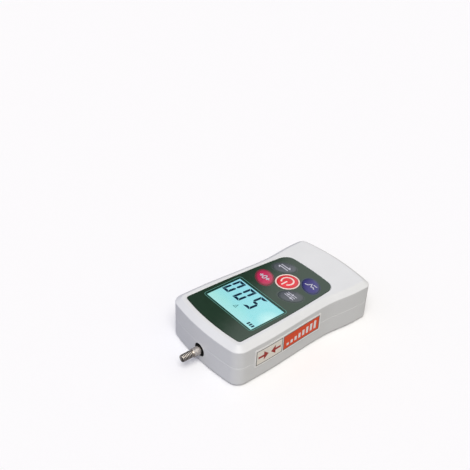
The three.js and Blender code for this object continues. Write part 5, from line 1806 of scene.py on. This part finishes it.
class GAUGE_OT_inner_parts(bpy.types.Operator):
    """Gives the pieces inside the housing their finishes"""

    bl_idname = "gauge.inner_parts"
    bl_label = "Inner parts"
    bl_options = {"REGISTER", "UNDO"}

    def execute(self, context):
        scene = context.scene
        inner = scene.gauge_inner
        switches = [f"{name}_switch" for name in KEY_TINTS]
        screws = [f"board_screw_{k}" for k in range(1, 5)] + ["clamp_screw_1", "clamp_screw_2"]
        black = moulded_plastic("inner_black_plastic", inner.black, 0.5, 0.0003)
        white = moulded_plastic("inner_white_plastic", inner.white, 0.45, 0.0004)
        cell_lead = moulded_plastic("cell_lead_insulation", inner.cell_lead, 0.5, 0.0006)
        red = moulded_plastic("battery_lead_insulation", inner.battery_lead, 0.5, 0.0006)
        steel = turned_metal("inner_screw_steel", scene.gauge_fasteners.steel, 0.3, 2)
        dark_steel = turned_metal("dark_steel", inner.dark_steel, 0.32)
        zinc = milled_metal("bracket_zinc", inner.zinc, 0.36, (20.0, 1.0, 20.0))
        coat(black, "lcd_frame", "controller_chip", "battery_clamp", *switches)
        coat(white, "backlight_panel", "cell_connector")
        coat(cell_lead, "cell_lead")
        coat(red, "battery_lead")
        coat(solder_mask(inner), "main_board")
        coat(zinc, "cell_bracket")
        coat(steel, *screws)
        coat(dark_steel, "cell_bolt", "shaft_lock_nut")
        coat(battery_sleeve(inner), *[f"battery_cell_{k}" for k in range(1, 5)])
        aluminium = milled_metal("cell_aluminium", inner.aluminium)
        covers = turned_metal("cover_aluminium", inner.covers, 0.24, 2)
        metals = {"load_cell": aluminium, "gauge_cover_top": covers, "gauge_cover_bottom": covers}
        self.bending_cell(metals)
        return {"FINISHED"}

    def bending_cell(self, metals):
        """Copies the load cell and its two covers with their finishes, in place of the imported
        nodes
        """
        front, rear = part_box("load_cell")
        start, end = (0.0, rear.y, front.z), (0.0, front.y, front.z)
        for node, metal in metals.items():
            piece = copy_of(node)
            smooth(piece)
            piece.data.materials.append(metal)
            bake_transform(piece)
            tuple(start)
            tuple(end)
            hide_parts(node)


# Stage
class GAUGE_OT_stage(bpy.types.Operator):
    """Sets up the floor, the soft studio light and the camera"""

    bl_idname = "gauge.stage"
    bl_label = "Stage"
    bl_options = {"REGISTER", "UNDO"}

    def execute(self, context):
        scene = context.scene
        stage = scene.gauge_stage
        self.floor(stage)
        self.studio(scene, stage)
        self.lamp(stage)
        self.camera(scene, stage)
        scene.view_settings.view_transform = "Standard"
        return {"FINISHED"}

    def floor(self, stage):
        half, drop = stage.floor_half, BOTTOM_Z - stage.floor_drop
        turns = ((-1, -1), (1, -1), (1, 1), (-1, 1))
        corners = [(across * half, along * half, drop) for across, along in turns]
        mesh = bpy.data.meshes.new("floor")
        mesh.from_pydata(corners, [], [(0, 1, 2, 3)])
        tree = material_tree("floor_paper")
        seen = tree.add("ShaderNodeLightPath", output="Is Camera Ray")
        grain = tree.noise(0.002, 3.0)
        pale = tree.mix(grain, scaled(stage.floor_colour, 0.985), stage.floor_colour)
        tone = tree.mix(seen, stage.floor_bounce, pale)
        mesh.materials.append(tree.surface(tone, 0.9, {"Specular IOR Level": 0.0}))
        new_object("floor", mesh)

    def studio(self, scene, stage):
        """Plain soft light all round; gloss sees a white studio with one darker side"""
        scene.world = bpy.data.worlds.new("studio")
        tree = Tree(scene.world)
        rays = ("Is Camera Ray", "Is Glossy Ray", "Is Transmission Ray")
        seen, glossy, through = [tree.add("ShaderNodeLightPath", output=ray) for ray in rays]
        direction = {0: tree.add("ShaderNodeTexCoord", output="Generated")}
        across = tree.add("ShaderNodeSeparateXYZ", inputs=direction, output="X")
        along = tree.add("ShaderNodeSeparateXYZ", inputs=direction, output="Y")
        white = stage.backdrop
        gloss = tree.mix(across.within(FLAG_START, FLAG_END), stage.flag, white)
        warmth = (across + along).within(-SKY_SPREAD, SKY_SPREAD)
        sky = tree.mix(warmth, stage.cool_sky, stage.warm_sky)
        tone = tree.mix(glossy, sky, gloss)
        tone = tree.mix(seen.larger(through), tone, white)
        background = tree.add("ShaderNodeBackground", inputs={"Color": tone, "Strength": 1.0})
        tree.add("ShaderNodeOutputWorld", inputs={"Surface": background})

    def lamp(self, stage):
        lamp = bpy.data.lights.new("main_lamp", "SUN")
        lamp.energy = stage.sun_strength
        lamp.angle = stage.sun_angle
        lamp.color = stage.sun_colour
        holder = new_object("main_lamp", lamp)
        azimuth, elevation = stage.sun_azimuth, stage.sun_elevation
        out = math.cos(elevation)
        towards = Vector((math.sin(azimuth) * out, -math.cos(azimuth) * out, math.sin(elevation)))
        holder.rotation_mode = "QUATERNION"
        holder.rotation_quaternion = towards.to_track_quat("Z", "Y")
        holder.location = towards

    def camera(self, scene, stage):
        azimuth, pitch, roll = stage.camera_azimuth, stage.camera_pitch, stage.camera_roll
        right = Vector((math.cos(azimuth), math.sin(azimuth), 0.0))
        out = math.cos(pitch)
        forward = Vector((-math.sin(azimuth) * out, math.cos(azimuth) * out, -math.sin(pitch)))
        up = right.cross(forward)
        leaned_right = math.cos(roll) * right + math.sin(roll) * up
        leaned_up = math.cos(roll) * up - math.sin(roll) * right
        lens = bpy.data.cameras.new("camera")
        lens.lens = stage.lens
        lens.sensor_width = SENSOR
        lens.clip_start = NEAREST
        lens.clip_end = FARTHEST
        camera = new_object("camera", lens)
        place = Matrix((leaned_right, leaned_up, -forward)).transposed().to_4x4()
        place.translation = (stage.camera_x, stage.camera_y, stage.camera_z)
        camera.matrix_world = place
        scene.camera = camera


SETTINGS = {
    "gauge_housing": HousingSettings,
    "gauge_overlay": OverlaySettings,
    "gauge_display": DisplaySettings,
    "gauge_keys": KeySettings,
    "gauge_shaft": ShaftSettings,
    "gauge_label": LabelSettings,
    "gauge_fasteners": FastenerSettings,
    "gauge_sockets": SocketSettings,
    "gauge_inner": InnerSettings,
    "gauge_stage": StageSettings,
}
OPERATORS = (
    GAUGE_OT_stage,
    GAUGE_OT_front_shell,
    GAUGE_OT_rear_shell,
    GAUGE_OT_overlay,
    GAUGE_OT_display,
    GAUGE_OT_keys,
    GAUGE_OT_power_ring,
    GAUGE_OT_shaft,
    GAUGE_OT_label,
    GAUGE_OT_sockets,
    GAUGE_OT_fasteners,
    GAUGE_OT_inner_parts,
)


class GAUGE_PT_tools(bpy.types.Panel):
    """Lists the gauge's operators and sizes"""

    bl_label = "Force gauge"
    bl_space_type = "VIEW_3D"
    bl_region_type = "UI"
    bl_category = "Gauge"

    def draw(self, context):
        for operator in OPERATORS:
            self.layout.operator(operator.bl_idname)
        for name, settings in SETTINGS.items():
            box = self.layout.box()
            box.label(text=name.replace("_", " ").capitalize())
            for field in settings.__annotations__:
                box.prop(getattr(context.scene, name), field)


def register():
    for kind in (*SETTINGS.values(), *OPERATORS, GAUGE_PT_tools):
        bpy.utils.register_class(kind)
    for name, settings in SETTINGS.items():
        setattr(bpy.types.Scene, name, PointerProperty(type=settings))


def unregister():
    for name in SETTINGS:
        delattr(bpy.types.Scene, name)
    for kind in reversed((*SETTINGS.values(), *OPERATORS, GAUGE_PT_tools)):
        bpy.utils.unregister_class(kind)


def main():
    register()
    for operator in OPERATORS:
        getattr(bpy.ops.gauge, operator.bl_idname.split(".")[1])()


if __name__ == "__main__":
    main()
